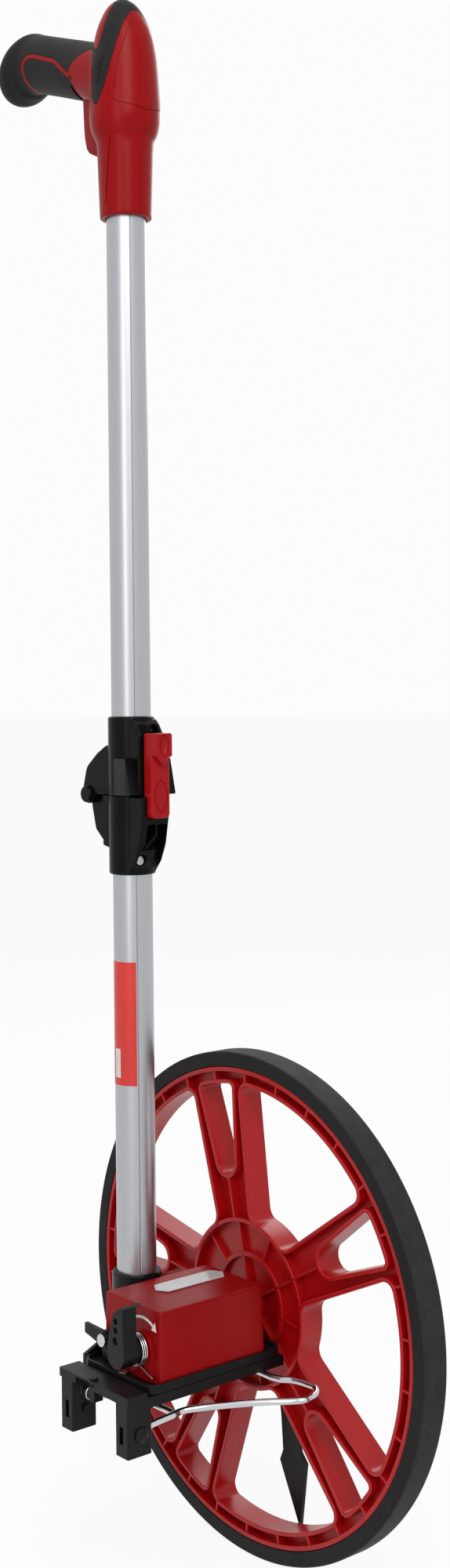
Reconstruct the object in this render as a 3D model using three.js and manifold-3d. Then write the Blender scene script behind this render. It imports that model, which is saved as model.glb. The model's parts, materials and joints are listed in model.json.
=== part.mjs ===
// Measuring wheel: a five-spoke wheel drives a mechanical counter at the foot of a folding pole.
// Millimetres, +Z up, +X the way the wheel rolls, +Y from the counter to the wheel.
// The origin is the flat outer end of the axle; the drawing below is laid out from the wheel's centre.
import * as THREE from "three";
import { mergeVertices } from "three/addons/utils/BufferGeometryUtils.js";
import Module from "manifold-3d";

const wasm = await Module();
wasm.setup();

// Clearances and fineness
const gap = 0.3;
const overrun = 3;
const chordError = 0.25;
const weldDistance = 0.0001;
const fewestSides = 10;
const mostSides = 40;

// Tyre and wheel
const tyreRadius = 159.15;
const tyreThickness = 9.45;
const tyreSeatRadius = tyreRadius - tyreThickness;
const tyreWidth = 19;
const tyreEdge = 1.5;
const rimWall = 3;
const wheelWidth = 18.4;
const wallWidth = 17.8;
const webThickness = 3;
const wallThickness = 2.6;
const rimDepth = 11.1;
const windowRadius = tyreSeatRadius - rimDepth;
const windowCorner = 6.5;
const windowHubCorner = 8;
const spokeCount = 5;
const spokeTurnShare = -11.5 / 360;
const spokeHalfAtHub = 17.3;
const spokeHalfAtRim = 24.6;
const dropTipRadius = 80.7;
const dropTipHalf = 8.6;
const dropEndHalf = 16;
const dropEndCorner = 3.2;
const rimRibCount = 30;
const rimRibWidth = 17;
const ribThickness = 1.6;
const hubRadius = 54;
const hubWidth = 16.6;
const hubWall = 3.2;
const hubLedge = 0.6;
const hubRingRadius = 31.7;
const hubRingWidth = 10;
const hubRibCount = 10;
const bossRadius = 11;
const bossWidth = 19.8;

// Axle and what is threaded on it
const axleRadius = 4;
const axleFarEnd = 26;
const axleNearEnd = -98.8;
const nutAcross = 13;
const nutLength = 6.2;
const washerRadius = 8;
const washerThickness = 1.4;
const spacerRadius = 6.5;
const spacerLength = 5.6;
const pointerThickness = 2.8;
const pointerLength = 145;
const pointerNeckHalf = 6.2;
const pointerBarbHalf = 12.4;
const pointerEyeRadius = 9;
const pointerTurnShare = 8.9 / 360;

// Pole
const poleX = -38;
const poleY = -66;
const tubeRadius = 12.5;
const tubeWall = 1.2;
const tubeFluteWidth = 0.9;
const tubeFluteDepth = 0.45;
const tubeFluteTurnShare = -25 / 360;

// Tray, base frame and legs
const trayLeft = -34;
const trayRight = 35.2;
const trayFront = -112.5;
const trayBack = -7.5;
const trayTop = -18.1;
const trayBottom = -23.6;
const trayCorner = 8;
const trayLip = 1.6;
const trayRecess = 2.5;
const deckThickness = 2.5;
const skirtBottom = -30;
const skirtWall = 2.4;
const plateFront = -128.6;
const plateBack = -114;
const plateTop = -20.7;
const plateBottom = -26;
const standMiddleX = 1.3;
const legSpread = 27.8;
const legWidth = 12.2;
const legBack = -111;
const legBottom = -56.6;
const legEdge = 1;
const slotWidth = 3.6;
const slotTop = -38.8;
const slotBottom = -49.2;
const socketRadius = 15.7;
const socketTop = 25;
const socketEdge = 1;
const finThickness = 2.6;
const finReach = 43;
const finRise = 16;

// Stand: one bent wire, its cross rod and the caps on its turned-out ends
const wireRadius = 2;
const standPivotY = -118.8;
const standPivotZ = -44.1;
const standArmSpread = 28.4;
const standLength = 97.8;
const standRise = 11.5;
const standEarReach = 79;
const wireBend = 3;
const crossRodOffset = 28.8;
const standCapRadius = 4.8;
const standCapLength = 2.2;
const legKnobRadius = 2.6;
const legKnobLength = 1.6;

// Extension spring and the anchor it hooks round
const pullWireRadius = 0.45;
const pullCoilRadius = 2.2;
const pullPitch = 1.42;
const pullTurns = 15;
const pullX = -6;
const anchorY = -125;
const anchorZ = -29.6;
const anchorNeckRadius = 2;
const anchorBlock = 6.4;
const anchorCheek = 4;
const anchorFlangeRadius = 3;
const knobRadius = 2.4;
const knobHeight = 6.6;

// Counter housing and lens
const houseLeft = -23.6;
const houseRight = 33.3;
const houseFront = -102.7;
const houseBack = -20.5;
const houseTop = 22.5;
const houseWall = 2;
const houseCorner = 2.4;
const houseDraft = 0.9;
const houseEdge = 1.4;
const lensMiddleX = -1.5;
const lensWidth = 15;
const lensFront = -79.6;
const lensBack = -25.6;
const lensPoint = 5;
const lensLip = 1.2;
const lensProud = 0.8;
const lensDepth = 1.6;
const resetBossProud = 1.2;
const resetBossRadius = 10.5;

// Counter
const countZ = 12.2;
const drumRadius = 6.9;
const drumWidth = 8.8;
const drumPitch = 9.4;
const drumCount = 5;
const drumRim = 1.4;
const drumWeb = 3.6;
const countShaftRadius = 2;
const chassisLeft = -15;
const chassisRight = 27;
const chassisTop = 18.6;
const chassisWall = 2;
const chassisFront = -98.6;
const chassisBack = -23.8;
const gearTeeth = 16;
const gearAddendum = 0.32;
const gearDedendum = 0.8;
const gearWidth = 4.5;
const gearY = -91.7;
const bushRadius = 6;
const bushFlangeRadius = 8;
const bushFlange = 1.3;
const frontBushRadius = 5.5;

// Reset lever, its shaft and its spring
const resetX = 15.5;
const resetZ = -2;
const resetShaftRadius = 3;
const leverFace = -122.7;
const leverBack = -112.5;
const leverHeight = 29.5;
const leverHubRadius = 7.6;
const leverPadDepth = 4;
const leverHoleDepth = 1.5;
const leverBottomRadius = 8.5;
const fingerLength = 10;
const fingerHalf = 1.2;
const fingerWidth = 2;
const twistWireRadius = 0.5;
const twistCoilRadius = 9.2;
const twistPitch = 1.46;
const twistTurns = 3.25;
const twistLegX = 28.6;
const twistLegZ = -16.9;

// Catch lever on its pin
const catchX = -17.7;
const catchZ = -5.2;
const catchHubRadius = 5.4;
const catchReach = 18.6;
const catchArmHeight = 6;
const catchThickness = 2.4;
const catchPinRadius = 2;
const catchHeadRadius = 4.15;
const catchHeadLength = 1.2;
const postThickness = 2.2;
const postWidth = 8.4;

// Fold hinge
const hingeZ = 325.4;
const hingeHeight = 49.8;
const hingeRadius = 14.75;
const hingeEdge = 1.4;
const pinOffset = 33.6;
const pinRadius = 2.6;
const pinHeadRadius = 5.4;
const pinHeadLength = 2.6;
const pinTailRadius = 3.9;
const knuckleRadius = 5.5;
const cheekRadius = 6;
const finHalf = 10;
const tongueHalf = 5.6;
const finOuterReach = 40;
const frontHalf = 10.5;
const frontReach = 25.4;
const frontUpperReach = 21.4;
const frontWall = 1.3;
const tubeStop = 4.7;
const wingHalf = 17.8;
const wingThickness = 3.8;
const wingReach = 22;
const wingHeight = 23;
const cavityTop = 17.8;
const cavityBottom = 46;

// Latch
const latchHalf = 7.1;
const latchFace = 30.3;
const latchPadFace = 33.8;
const latchPadHalf = 6.5;
const latchPadHeight = 16;
const latchTop = 39.3;
const latchBottom = 13.8;
const latchRibHalf = 3;
const latchRibDepth = 7.2;
const latchRibHeight = 20;
const latchSlotTop = 45;
const latchEdge = 1.6;
const latchFootCorner = 3.8;
const thumbRadius = 4;
const sightHalf = 5;
const sightSweep = 0.9;
const sightStretch = 2;
const grooveWidth = 0.5;
const grooveDepth = 0.45;
const latchWireRadius = 0.3;
const latchCoilRadius = 2;
const latchPitch = 3.7;
const latchTurns = 5;

// Handle
const neckBottom = 690;
const neckRadius = 16;
const neckTopRadius = 17.6;
const headTop = 829;
const headRadius = 22.3;
const neckHeight = 45;
const gripTilt = 21;
const gripRadius = 18.9;
const gripSide = 17.6;
const gripLength = 107.5;
const gripRootX = -60;
const gripRootZ = 788.4;
const coverRaise = 0.4;
const coverThickness = 1.2;
const sleeveThickness = 1.1;
const webHalf = 4;
const inlayWidth = 2.6;
const handleSides = 16;

// Screws
const screwHeadRadius = 2.9;
const screwHeadLength = 1.8;
const screwRadius = 1.4;
const screwLength = 8;

const turn = 2 * Math.PI;
const quarter = Math.PI / 2;

// Paints
const paint = (color, roughness, metalness = 0) =>
  new THREE.MeshStandardMaterial({ color, roughness, metalness });
const redPlastic = paint(0xa81216, 0.32);
const blackPlastic = paint(0x1c1c1e, 0.4);
const softBlack = paint(0x2c2c2e, 0.75);
const rubber = paint(0x38383a, 0.85);
const aluminium = paint(0xc4c7ca, 0.3, 1);
const chrome = paint(0xdadada, 0.12, 1);
const steel = paint(0xb0b2b4, 0.35, 1);
const whitePlastic = paint(0xe8e6e0, 0.45);
const brass = paint(0xb58b3c, 0.35, 1);
const clear = new THREE.MeshStandardMaterial({
  color: 0xf2f4f6,
  roughness: 0.05,
  metalness: 0,
  transparent: true,
  opacity: 0.3,
});

// A closed geometry as a solid whose faces point outwards
function solid(geometry) {
  const bare = geometry.clone();
  bare.deleteAttribute("normal");
  bare.deleteAttribute("uv");
  const merged = mergeVertices(bare, weldDistance);
  const corners = merged.index.array;
  const kept = [];
  for (let i = 0; i < corners.length; i += 3) {
    const [a, b, c] = [corners[i], corners[i + 1], corners[i + 2]];
    if (a !== b && b !== c && c !== a) kept.push(a, b, c);
  }
  const build = (order) =>
    new wasm.Manifold(
      new wasm.Mesh({
        numProp: 3,
        vertProperties: merged.attributes.position.array,
        triVerts: new Uint32Array(order),
      }),
    );
  const made = build(kept);
  return made.volume() > 0 ? made : build(kept.reverse());
}

const join = (...solids) => solids.reduce((sum, next) => sum.add(next));
const cut = (base, ...tools) => tools.reduce((rest, tool) => rest.subtract(tool), base);

const model = new THREE.Group();

// A solid as a named mesh of the part
function piece(name, body, material) {
  const mesh = body.getMesh();
  const geometry = new THREE.BufferGeometry();
  geometry.setAttribute("position", new THREE.BufferAttribute(mesh.vertProperties, mesh.numProp));
  geometry.setIndex(new THREE.BufferAttribute(mesh.triVerts, 1));
  geometry.computeVertexNormals();
  const made = new THREE.Mesh(geometry, material);
  made.name = name;
  model.add(made);
}

// Outlines are lists of points (u, v): (x, z) across Y, (y, z) across X and (x, y) across Z
const at = (u, v) => new THREE.Vector2(u, v);

function stepsFor(radius, sweep) {
  const full = turn / (2 * Math.acos(1 - chordError / Math.max(radius, 2 * chordError)));
  const sides = Math.min(mostSides, Math.max(fewestSides, full));
  return Math.max(2, Math.ceil((Math.abs(sweep) / turn) * sides));
}

function arc(u, v, radius, from, to, steps = stepsFor(radius, to - from)) {
  const points = [];
  for (let i = 0; i <= steps; i++) {
    const angle = from + ((to - from) * i) / steps;
    points.push(at(u + radius * Math.cos(angle), v + radius * Math.sin(angle)));
  }
  return points;
}

const circle = (u, v, radius) => arc(u, v, radius, 0, turn).slice(1);
const rectangle = (u0, u1, v0, v1) => [at(u0, v0), at(u1, v0), at(u1, v1), at(u0, v1)];

// Corners of an outline rounded by one radius, or by one radius for each corner
function rounded(points, radii) {
  return points.flatMap((corner, i) => {
    const before = points[(i + points.length - 1) % points.length];
    const after = points[(i + 1) % points.length];
    const a = before.clone().sub(corner);
    const b = after.clone().sub(corner);
    const wanted = Array.isArray(radii) ? radii[i] : radii;
    const between = a.angleTo(b);
    const room = 0.48 * Math.min(a.length(), b.length());
    const along = Math.min(wanted / Math.tan(between / 2), room);
    if (along <= 0) return [corner];
    const radius = along * Math.tan(between / 2);
    const start = corner.clone().add(a.normalize().multiplyScalar(along));
    const end = corner.clone().add(b.normalize().multiplyScalar(along));
    const middle = a.clone().add(b).normalize();
    const centre = corner.clone().add(middle.multiplyScalar(radius / Math.sin(between / 2)));
    const from = Math.atan2(start.y - centre.y, start.x - centre.x);
    let sweep = Math.atan2(end.y - centre.y, end.x - centre.x) - from;
    if (sweep > Math.PI) sweep -= turn;
    if (sweep < -Math.PI) sweep += turn;
    return arc(centre.x, centre.y, radius, from, from + sweep);
  });
}

// An outline moved outwards all round
function grown(outline, by) {
  const way = Math.sign(THREE.ShapeUtils.area(outline)) * by;
  return outline.map((point, i) => {
    const before = outline[(i + outline.length - 1) % outline.length];
    const after = outline[(i + 1) % outline.length];
    const a = point.clone().sub(before).normalize();
    const b = after.clone().sub(point).normalize();
    return point.clone().addScaledVector(at(a.y + b.y, -a.x - b.x), way / (1 + a.dot(b)));
  });
}

// Frames that carry an outline's (u, v) and its depth to the part's axes
const frames = {
  x: new THREE.Matrix4().set(0, 0, 1, 0, 1, 0, 0, 0, 0, 1, 0, 0, 0, 0, 0, 1),
  y: new THREE.Matrix4().set(1, 0, 0, 0, 0, 0, -1, 0, 0, 1, 0, 0, 0, 0, 0, 1),
  z: new THREE.Matrix4(),
};

// An outline run along an axis from one place to another
function prism(outline, axis, from, to) {
  const depth = to - from;
  const geometry = new THREE.ExtrudeGeometry(new THREE.Shape(outline), {
    depth,
    bevelEnabled: false,
  });
  geometry.applyMatrix4(frames[axis]);
  geometry.translate(
    axis === "x" ? from : 0,
    axis === "y" ? to : 0,
    axis === "z" ? from : 0,
  );
  return solid(geometry);
}

const box = (x0, x1, y0, y1, z0, z1) => prism(rectangle(x0, x1, y0, y1), "z", z0, z1);
const rod = (axis, u, v, radius, from, to) => prism(circle(u, v, radius), axis, from, to);

// A profile of [radius, place along the axis] turned round an axis through (u, v)
function turned(profile, axis, u, v) {
  const widest = Math.max(...profile.map((point) => point[0]));
  const geometry = new THREE.LatheGeometry(
    profile.map(([radius, along]) => at(radius, along)),
    stepsFor(widest, turn),
  );
  if (axis === "z") geometry.rotateX(quarter);
  if (axis === "x") geometry.rotateZ(-quarter);
  geometry.translate(axis === "x" ? 0 : u, axis === "x" ? u : axis === "z" ? v : 0, axis === "z" ? 0 : v);
  return solid(geometry);
}

// A skin over rings of equally many points, closed by a fan at each end
function loft(rings) {
  const count = rings[0].length;
  const middle = (ring) =>
    ring.reduce((sum, point) => sum.add(point), new THREE.Vector3()).divideScalar(count);
  const points = [...rings.flat(), middle(rings[0]), middle(rings[rings.length - 1])];
  const foot = rings.length * count;
  const faces = [];
  for (let k = 0; k < count; k++) {
    const next = (k + 1) % count;
    for (let r = 0; r + 1 < rings.length; r++) {
      const low = r * count;
      const high = low + count;
      faces.push(low + k, low + next, high + next, low + k, high + next, high + k);
    }
    const last = foot - count;
    faces.push(foot, next, k, foot + 1, last + k, last + next);
  }
  const geometry = new THREE.BufferGeometry().setFromPoints(points);
  geometry.setIndex(faces);
  return solid(geometry);
}

// A wire along a list of points, closed at both ends
const coilSides = 5;
const coilSteps = 8;
function swept(points, radius, sides) {
  let side = new THREE.Vector3(0, 0, 1);
  const rings = points.map((point, i) => {
    const before = points[Math.max(0, i - 1)];
    const after = points[Math.min(points.length - 1, i + 1)];
    const along = after.clone().sub(before).normalize();
    side = side.clone().addScaledVector(along, -side.dot(along)).normalize();
    const other = along.clone().cross(side);
    return arc(0, 0, radius, 0, turn, sides)
      .slice(1)
      .map(({ x, y }) => point.clone().addScaledVector(side, x).addScaledVector(other, y));
  });
  return loft(rings);
}
const coil = (points, radius) => swept(points, radius, coilSides);

// Points of a bent wire, its sharp corners eased by quarter curves
const sharpTurn = 0.6;
function bent(points, ease) {
  return points.flatMap((point, i) => {
    if (i === 0 || i === points.length - 1) return [point];
    const back = points[i - 1].clone().sub(point);
    const on = points[i + 1].clone().sub(point);
    if (Math.PI - back.angleTo(on) < sharpTurn) return [point];
    const enter = point.clone().add(back.setLength(Math.min(ease, back.length() / 2)));
    const leave = point.clone().add(on.setLength(Math.min(ease, on.length() / 2)));
    return new THREE.QuadraticBezierCurve3(enter, point, leave).getPoints(3);
  });
}

// The least gap between turns of a coil, measured on points along it
function selfGap(name, points, radius, apart) {
  const fine = [];
  for (let i = 0; i + 1 < points.length; i++)
    for (let k = 0; k < 4; k++) fine.push(points[i].clone().lerp(points[i + 1], k / 4));
  let least = Infinity;
  for (let i = 0; i < fine.length; i++)
    for (let j = i + apart * 4; j < fine.length; j++)
      least = Math.min(least, fine[i].distanceTo(fine[j]));
  console.log(name + ": least gap to itself " + (least - 2 * radius).toFixed(2) + " mm");
}

// Wheel: a channel rim, five Y-shaped spokes with a drop-shaped hole each, and a dished hub
const rimRadius = tyreSeatRadius - gap;
const spokeTurn = 1 / spokeCount;
const spokeAngle = (i) => turn * (spokeTurnShare + i * spokeTurn);

// Points (along the spoke, to its side) carried to a spoke that leans from +Z towards +X
const onSpoke = (points, angle) =>
  points.map(({ x: along, y: side }) =>
    at(
      along * Math.sin(angle) + side * Math.cos(angle),
      along * Math.cos(angle) - side * Math.sin(angle),
    ),
  );

const direction = (angle) => at(Math.cos(angle), Math.sin(angle));
const mirrored = (half) => [
  ...half,
  ...half
    .slice(1, -1)
    .reverse()
    .map((point) => at(point.x, -point.y)),
];

function shortArc(centre, radius, fromWay, toWay) {
  const from = fromWay.angle();
  let sweep = toWay.angle() - from;
  if (sweep > Math.PI) sweep -= turn;
  if (sweep < -Math.PI) sweep += turn;
  return arc(centre.x, centre.y, radius, from, from + sweep);
}

// The opening between two spokes, grown all round for the wall that frames it
function windowOutline(grow) {
  const half = turn * spokeTurn * 0.5;
  const inner = hubRadius - grow;
  const outer = windowRadius + grow;
  const way = direction(half);
  const side = at(-way.y, way.x);
  const foot = way.clone().multiplyScalar(hubRadius).addScaledVector(side, -spokeHalfAtHub);
  const tip = way.clone().multiplyScalar(windowRadius).addScaledVector(side, -spokeHalfAtRim);
  const run = tip.sub(foot).normalize();
  const inwards = at(run.y, -run.x);
  foot.addScaledVector(inwards, -grow);
  const corner = (radius, reach) => {
    const start = foot.clone().addScaledVector(inwards, radius);
    const slope = start.dot(run);
    const more = Math.sqrt(slope * slope - start.lengthSq() + reach * reach) - slope;
    return start.addScaledVector(run, more);
  };
  const hubCorner = corner(windowHubCorner + grow, inner + windowHubCorner + grow);
  const rimCorner = corner(windowCorner + grow, outer - windowCorner - grow);
  const outwards = inwards.clone().negate();
  return mirrored([
    ...arc(0, 0, inner, 0, hubCorner.angle()).slice(0, -1),
    ...shortArc(hubCorner, windowHubCorner + grow, hubCorner.clone().negate(), outwards),
    ...shortArc(rimCorner, windowCorner + grow, outwards, rimCorner),
    ...arc(0, 0, outer, rimCorner.angle(), 0).slice(1),
  ]);
}

// The drop-shaped hole between the arms of a spoke: round towards the hub, square at the rim
function dropOutline(grow) {
  const tipRadius = dropTipHalf + grow;
  const tip = at(dropTipRadius + dropTipHalf, 0);
  const cornerRadius = dropEndCorner + grow;
  const side = dropEndHalf - dropEndCorner;
  const corner = at(Math.sqrt((windowRadius - dropEndCorner) ** 2 - side ** 2), side);
  const between = corner.clone().sub(tip);
  const lean = between.angle() + Math.acos((tipRadius - cornerRadius) / between.length());
  return mirrored([
    ...arc(tip.x, tip.y, tipRadius, Math.PI, lean),
    ...shortArc(corner, cornerRadius, direction(lean), corner),
    ...arc(0, 0, windowRadius + grow, corner.angle(), 0).slice(1),
  ]);
}

const across = (outline, width) => prism(outline, "y", -width / 2, width / 2);
const ring = (outer, inner, width) =>
  turned(
    [
      [inner, -width / 2],
      [outer, -width / 2],
      [outer, width / 2],
      [inner, width / 2],
      [inner, -width / 2],
    ],
    "y",
    0,
    0,
  );
const radialRib = (from, to, width, angle) =>
  across(onSpoke(rectangle(from, to, -ribThickness / 2, ribThickness / 2), angle), width);

const rimRing = turned(
  [
    [rimRadius - rimWall, -wheelWidth / 2],
    [rimRadius, -wheelWidth / 2],
    [rimRadius, wheelWidth / 2],
    [rimRadius - rimWall, wheelWidth / 2],
    [rimRadius - rimWall, -wheelWidth / 2],
  ],
  "y",
  0,
  0,
);

const spokes = [...Array(spokeCount).keys()].map(spokeAngle);
const middles = spokes.map((angle) => angle + turn * spokeTurn * 0.5);
const rimRibs = [...Array(rimRibCount).keys()].map((i) =>
  radialRib(
    windowRadius + wallThickness / 2,
    rimRadius - rimWall + gap,
    rimRibWidth,
    spokeAngle(0) + (i * turn) / rimRibCount,
  ),
);
const hubRibs = [...Array(hubRibCount).keys()].map((i) =>
  radialRib(
    hubRingRadius - hubWall / 2,
    hubRadius - hubWall / 2,
    hubRingWidth,
    spokeAngle(0) + (i * turn) / hubRibCount,
  ),
);
const spokeRibs = spokes.flatMap((angle) => [
  radialRib(bossRadius - wallThickness, hubRingRadius - hubWall / 2, hubRingWidth, angle),
  radialRib(hubRadius - hubWall / 2, dropTipRadius - wallThickness / 2, hubWidth, angle),
]);

piece(
  "wheel",
  cut(
    join(
      ring(rimRadius - rimWall / 2, 0, webThickness),
      rimRing,
      ring(hubRadius - hubLedge, hubRadius - hubWall, hubWidth),
      ring(hubRingRadius, hubRingRadius - hubWall, hubRingWidth),
      ring(bossRadius, 0, bossWidth),
      ...middles.map((angle) => across(onSpoke(windowOutline(wallThickness), angle), wallWidth)),
      ...spokes.map((angle) => across(onSpoke(dropOutline(wallThickness), angle), wallWidth)),
      ...rimRibs,
      ...hubRibs,
      ...spokeRibs,
    ),
    ...middles.map((angle) => across(onSpoke(windowOutline(0), angle), tyreWidth + overrun)),
    ...spokes.map((angle) => across(onSpoke(dropOutline(0), angle), tyreWidth + overrun)),
    across(circle(0, 0, axleRadius + gap), bossWidth + overrun),
  ),
  redPlastic,
);

piece(
  "tyre",
  turned(
    [
      [tyreSeatRadius, -tyreWidth / 2],
      [tyreRadius - tyreEdge, -tyreWidth / 2],
      [tyreRadius, tyreEdge - tyreWidth / 2],
      [tyreRadius, tyreWidth / 2 - tyreEdge],
      [tyreRadius - tyreEdge, tyreWidth / 2],
      [tyreSeatRadius, tyreWidth / 2],
      [tyreSeatRadius, -tyreWidth / 2],
    ],
    "y",
    0,
    0,
  ),
  rubber,
);

// Axle, nuts and washer, threaded from the wheel's boss outwards on both sides
const hexagon = (radius) => arc(0, 0, radius, 0, turn, 6).slice(1);
const hexNut = (from, to) =>
  cut(
    prism(hexagon(nutAcross / 2 / Math.cos(turn / 12)), "y", from, to),
    rod("y", 0, 0, axleRadius + gap, from - overrun, to + overrun),
  );
const collar = (radius, from, to) =>
  cut(rod("y", 0, 0, radius, from, to), rod("y", 0, 0, axleRadius + gap, from - overrun, to + overrun));

piece("axle", rod("y", 0, 0, axleRadius, axleNearEnd, axleFarEnd), steel);
const bossFace = bossWidth / 2;
const washerFace = -bossFace - gap - washerThickness;
piece("wheel_washer", collar(washerRadius, washerFace, -bossFace - gap), steel);
const nutFace = washerFace - gap - nutLength;
piece("wheel_nut", hexNut(nutFace, washerFace - gap), steel);
const spacerEnd = bossFace + gap + spacerLength;
piece("axle_spacer", collar(spacerRadius, bossFace + gap, spacerEnd), steel);

// Pointer: a flat arrow that hangs on the axle beyond the wheel and marks where the tyre touches
const pointerFace = spacerEnd + gap;
const pointerOuter = pointerFace + pointerThickness;
const neckShare = 0.52;
const barbShare = 0.72;
const shoulderShare = 0.675;
const shoulderHalfShare = 0.66;
const pointerShape = mirrored([
  at(0, 0),
  at(0, pointerEyeRadius * shoulderHalfShare),
  at(pointerLength * neckShare, pointerNeckHalf),
  at(pointerLength * shoulderShare, pointerBarbHalf * shoulderHalfShare),
  at(pointerLength * barbShare, pointerBarbHalf),
  at(pointerLength, 0),
]);
const pointerAngle = Math.PI - turn * pointerTurnShare;
piece(
  "pointer",
  cut(
    join(
      prism(onSpoke(pointerShape, pointerAngle), "y", pointerFace, pointerOuter),
      rod("y", 0, 0, pointerEyeRadius, pointerFace, pointerOuter),
    ),
    rod("y", 0, 0, axleRadius + gap, pointerFace - overrun, pointerOuter + overrun),
  ),
  blackPlastic,
);
piece("pointer_nut", hexNut(pointerOuter + gap, pointerOuter + gap + nutLength - gap * 4), steel);

// Base frame: a ribbed deck, the plate with its two legs, and the socket that holds the pole
const deckTop = trayBottom - gap;
const deckBottom = deckTop - deckThickness;
const legMiddles = [standMiddleX - legSpread, standMiddleX + legSpread];
const sideOf = (x) => Math.sign(x - standMiddleX);
const armX = (x) => standMiddleX + sideOf(x) * standArmSpread;
const cavityHalf = wireRadius + 2 * gap;
const cavityFront = standPivotY - wireRadius - 4 * gap;
const cavityRiseShare = 2.8;
const cavityTopZ = standPivotZ + wireRadius * cavityRiseShare;
const slotMiddle = (x) => armX(x) - sideOf(x) * gap * 3;
const ribPlaceShares = [0.28, 0.62];
const ribPlaces = ribPlaceShares.map((share) => trayFront + (trayBack - trayFront) * share);

const leg = (x) =>
  prism(
    rounded(rectangle(x - legWidth / 2, x + legWidth / 2, plateFront, legBack), legEdge),
    "z",
    legBottom,
    deckTop - gap,
  );
const legHollow = (x) =>
  join(
    box(
      armX(x) - cavityHalf,
      armX(x) + cavityHalf,
      cavityFront,
      legBack + overrun,
      legBottom - overrun,
      cavityTopZ,
    ),
    box(
      slotMiddle(x) - slotWidth / 2,
      slotMiddle(x) + slotWidth / 2,
      plateFront - overrun,
      cavityFront + gap,
      slotBottom,
      slotTop,
    ),
    rod(
      "x",
      standPivotY,
      standPivotZ,
      wireRadius + gap,
      Math.min(armX(x), x + sideOf(x) * legWidth),
      Math.max(armX(x), x + sideOf(x) * legWidth),
    ),
  );
const legKnob = (x) => {
  const face = x - (sideOf(x) * legWidth) / 2;
  const ends = [face - sideOf(x) * legKnobLength, face + sideOf(x) * legKnobLength];
  return rod("x", standPivotY, standPivotZ, legKnobRadius, Math.min(...ends), Math.max(...ends));
};

const socketBlock = (radius) => {
  const body = turned(
    [
      [0, skirtBottom],
      [radius, skirtBottom],
      [radius, socketTop - socketEdge],
      [radius - socketEdge, socketTop],
      [0, socketTop],
    ],
    "z",
    poleX,
    poleY,
  );
  const flat = box(
    houseLeft - gap,
    houseLeft + radius,
    poleY - radius,
    poleY + radius,
    deckTop,
    socketTop + overrun,
  );
  return cut(body, flat);
};
const socketFin = prism(
  [
    at(poleY - finReach, skirtBottom),
    at(poleY + finReach, skirtBottom),
    at(poleY + finReach, trayTop),
    at(poleY + socketRadius / 2, trayTop + finRise),
    at(poleY - socketRadius / 2, trayTop + finRise),
    at(poleY - finReach, trayTop),
  ],
  "x",
  trayLeft - gap - finThickness,
  trayLeft - gap,
);

const poleScrewZ = (socketTop + trayTop) / 2;
const poleScrewHole = rod(
  "x",
  poleY,
  poleScrewZ,
  screwRadius + gap,
  poleX - socketRadius - overrun,
  poleX - screwLength / 2,
);

// The spring anchor hangs in a notch in the plate's front edge
const notchLeft = pullX - anchorCheek - 2 * gap - anchorBlock;
const notchRight = pullX + anchorCheek + 2 * gap + anchorBlock / 2;
const knobX = pullX + knobRadius + pullWireRadius + 2 * gap;

const skirtBlock = (inset, front, top) =>
  box(trayLeft + inset, trayRight - inset, front, trayBack - inset, skirtBottom, top);
piece(
  "base_frame",
  cut(
    join(
      cut(
        skirtBlock(0, plateBack - overrun, deckTop),
        skirtBlock(skirtWall, plateBack - 2 * overrun, deckBottom),
      ),
      ...ribPlaces.map((y) =>
        box(
          trayLeft + skirtWall / 2,
          trayRight - skirtWall / 2,
          y,
          y + ribThickness,
          skirtBottom,
          deckBottom + gap,
        ),
      ),
      box(trayLeft, trayRight, plateFront, plateBack, plateBottom, plateTop),
      ...legMiddles.map(leg),
      ...legMiddles.map(legKnob),
      cut(socketFin, rod("z", poleX, poleY, socketRadius - socketEdge, skirtBottom - overrun, socketTop)),
      box(
        trayLeft - gap - finThickness,
        trayLeft + overrun,
        poleY - finReach,
        poleY + finReach,
        skirtBottom,
        deckTop,
      ),
      socketBlock(socketRadius),
    ),
    ...legMiddles.map(legHollow),
    rod("z", poleX, poleY, tubeRadius + gap, deckBottom, socketTop + overrun),
    poleScrewHole,
    box(
      notchLeft,
      notchRight,
      plateFront - overrun,
      anchorY + anchorBlock / 2 + gap,
      skirtBottom - overrun,
      plateBottom + anchorCheek,
    ),
    rod("z", knobX, anchorY - gap, knobRadius + gap, plateBottom - overrun, plateTop + overrun),
  ),
  blackPlastic,
);

const traySolid = (grow, from, to) =>
  prism(
    rounded(
      rectangle(trayLeft + grow, trayRight - grow, trayFront + grow, trayBack - grow),
      trayCorner - grow,
    ),
    "z",
    from,
    to,
  );
const trayFloor = trayTop - trayRecess;
const postFront = houseFront - gap - postThickness;
const post = prism(
  rounded(
    rectangle(catchX - postWidth / 2, catchX + postWidth / 2, trayFloor - gap, catchZ + catchHubRadius),
    [0, 0, catchHubRadius / 2, catchHubRadius / 2],
  ),
  "y",
  postFront,
  houseFront - gap,
);
const screwX = standMiddleX + overrun / 2;
const screwY = (trayFront + houseFront) / 2;
piece(
  "tray",
  cut(
    join(cut(traySolid(0, trayBottom, trayTop), traySolid(trayLip, trayFloor, trayTop + overrun)), post),
    cut(
      rod("z", poleX, poleY, socketRadius + gap, trayBottom - overrun, socketTop),
      box(
        houseLeft,
        trayRight,
        poleY - socketRadius * 2,
        poleY + socketRadius * 2,
        trayBottom - 2 * overrun,
        socketTop + overrun,
      ),
    ),
    rod("y", catchX, catchZ, catchPinRadius + gap, postFront - overrun, houseFront),
    rod("z", screwX, screwY, screwRadius + gap, trayBottom - overrun, trayTop),
  ),
  blackPlastic,
);

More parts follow.
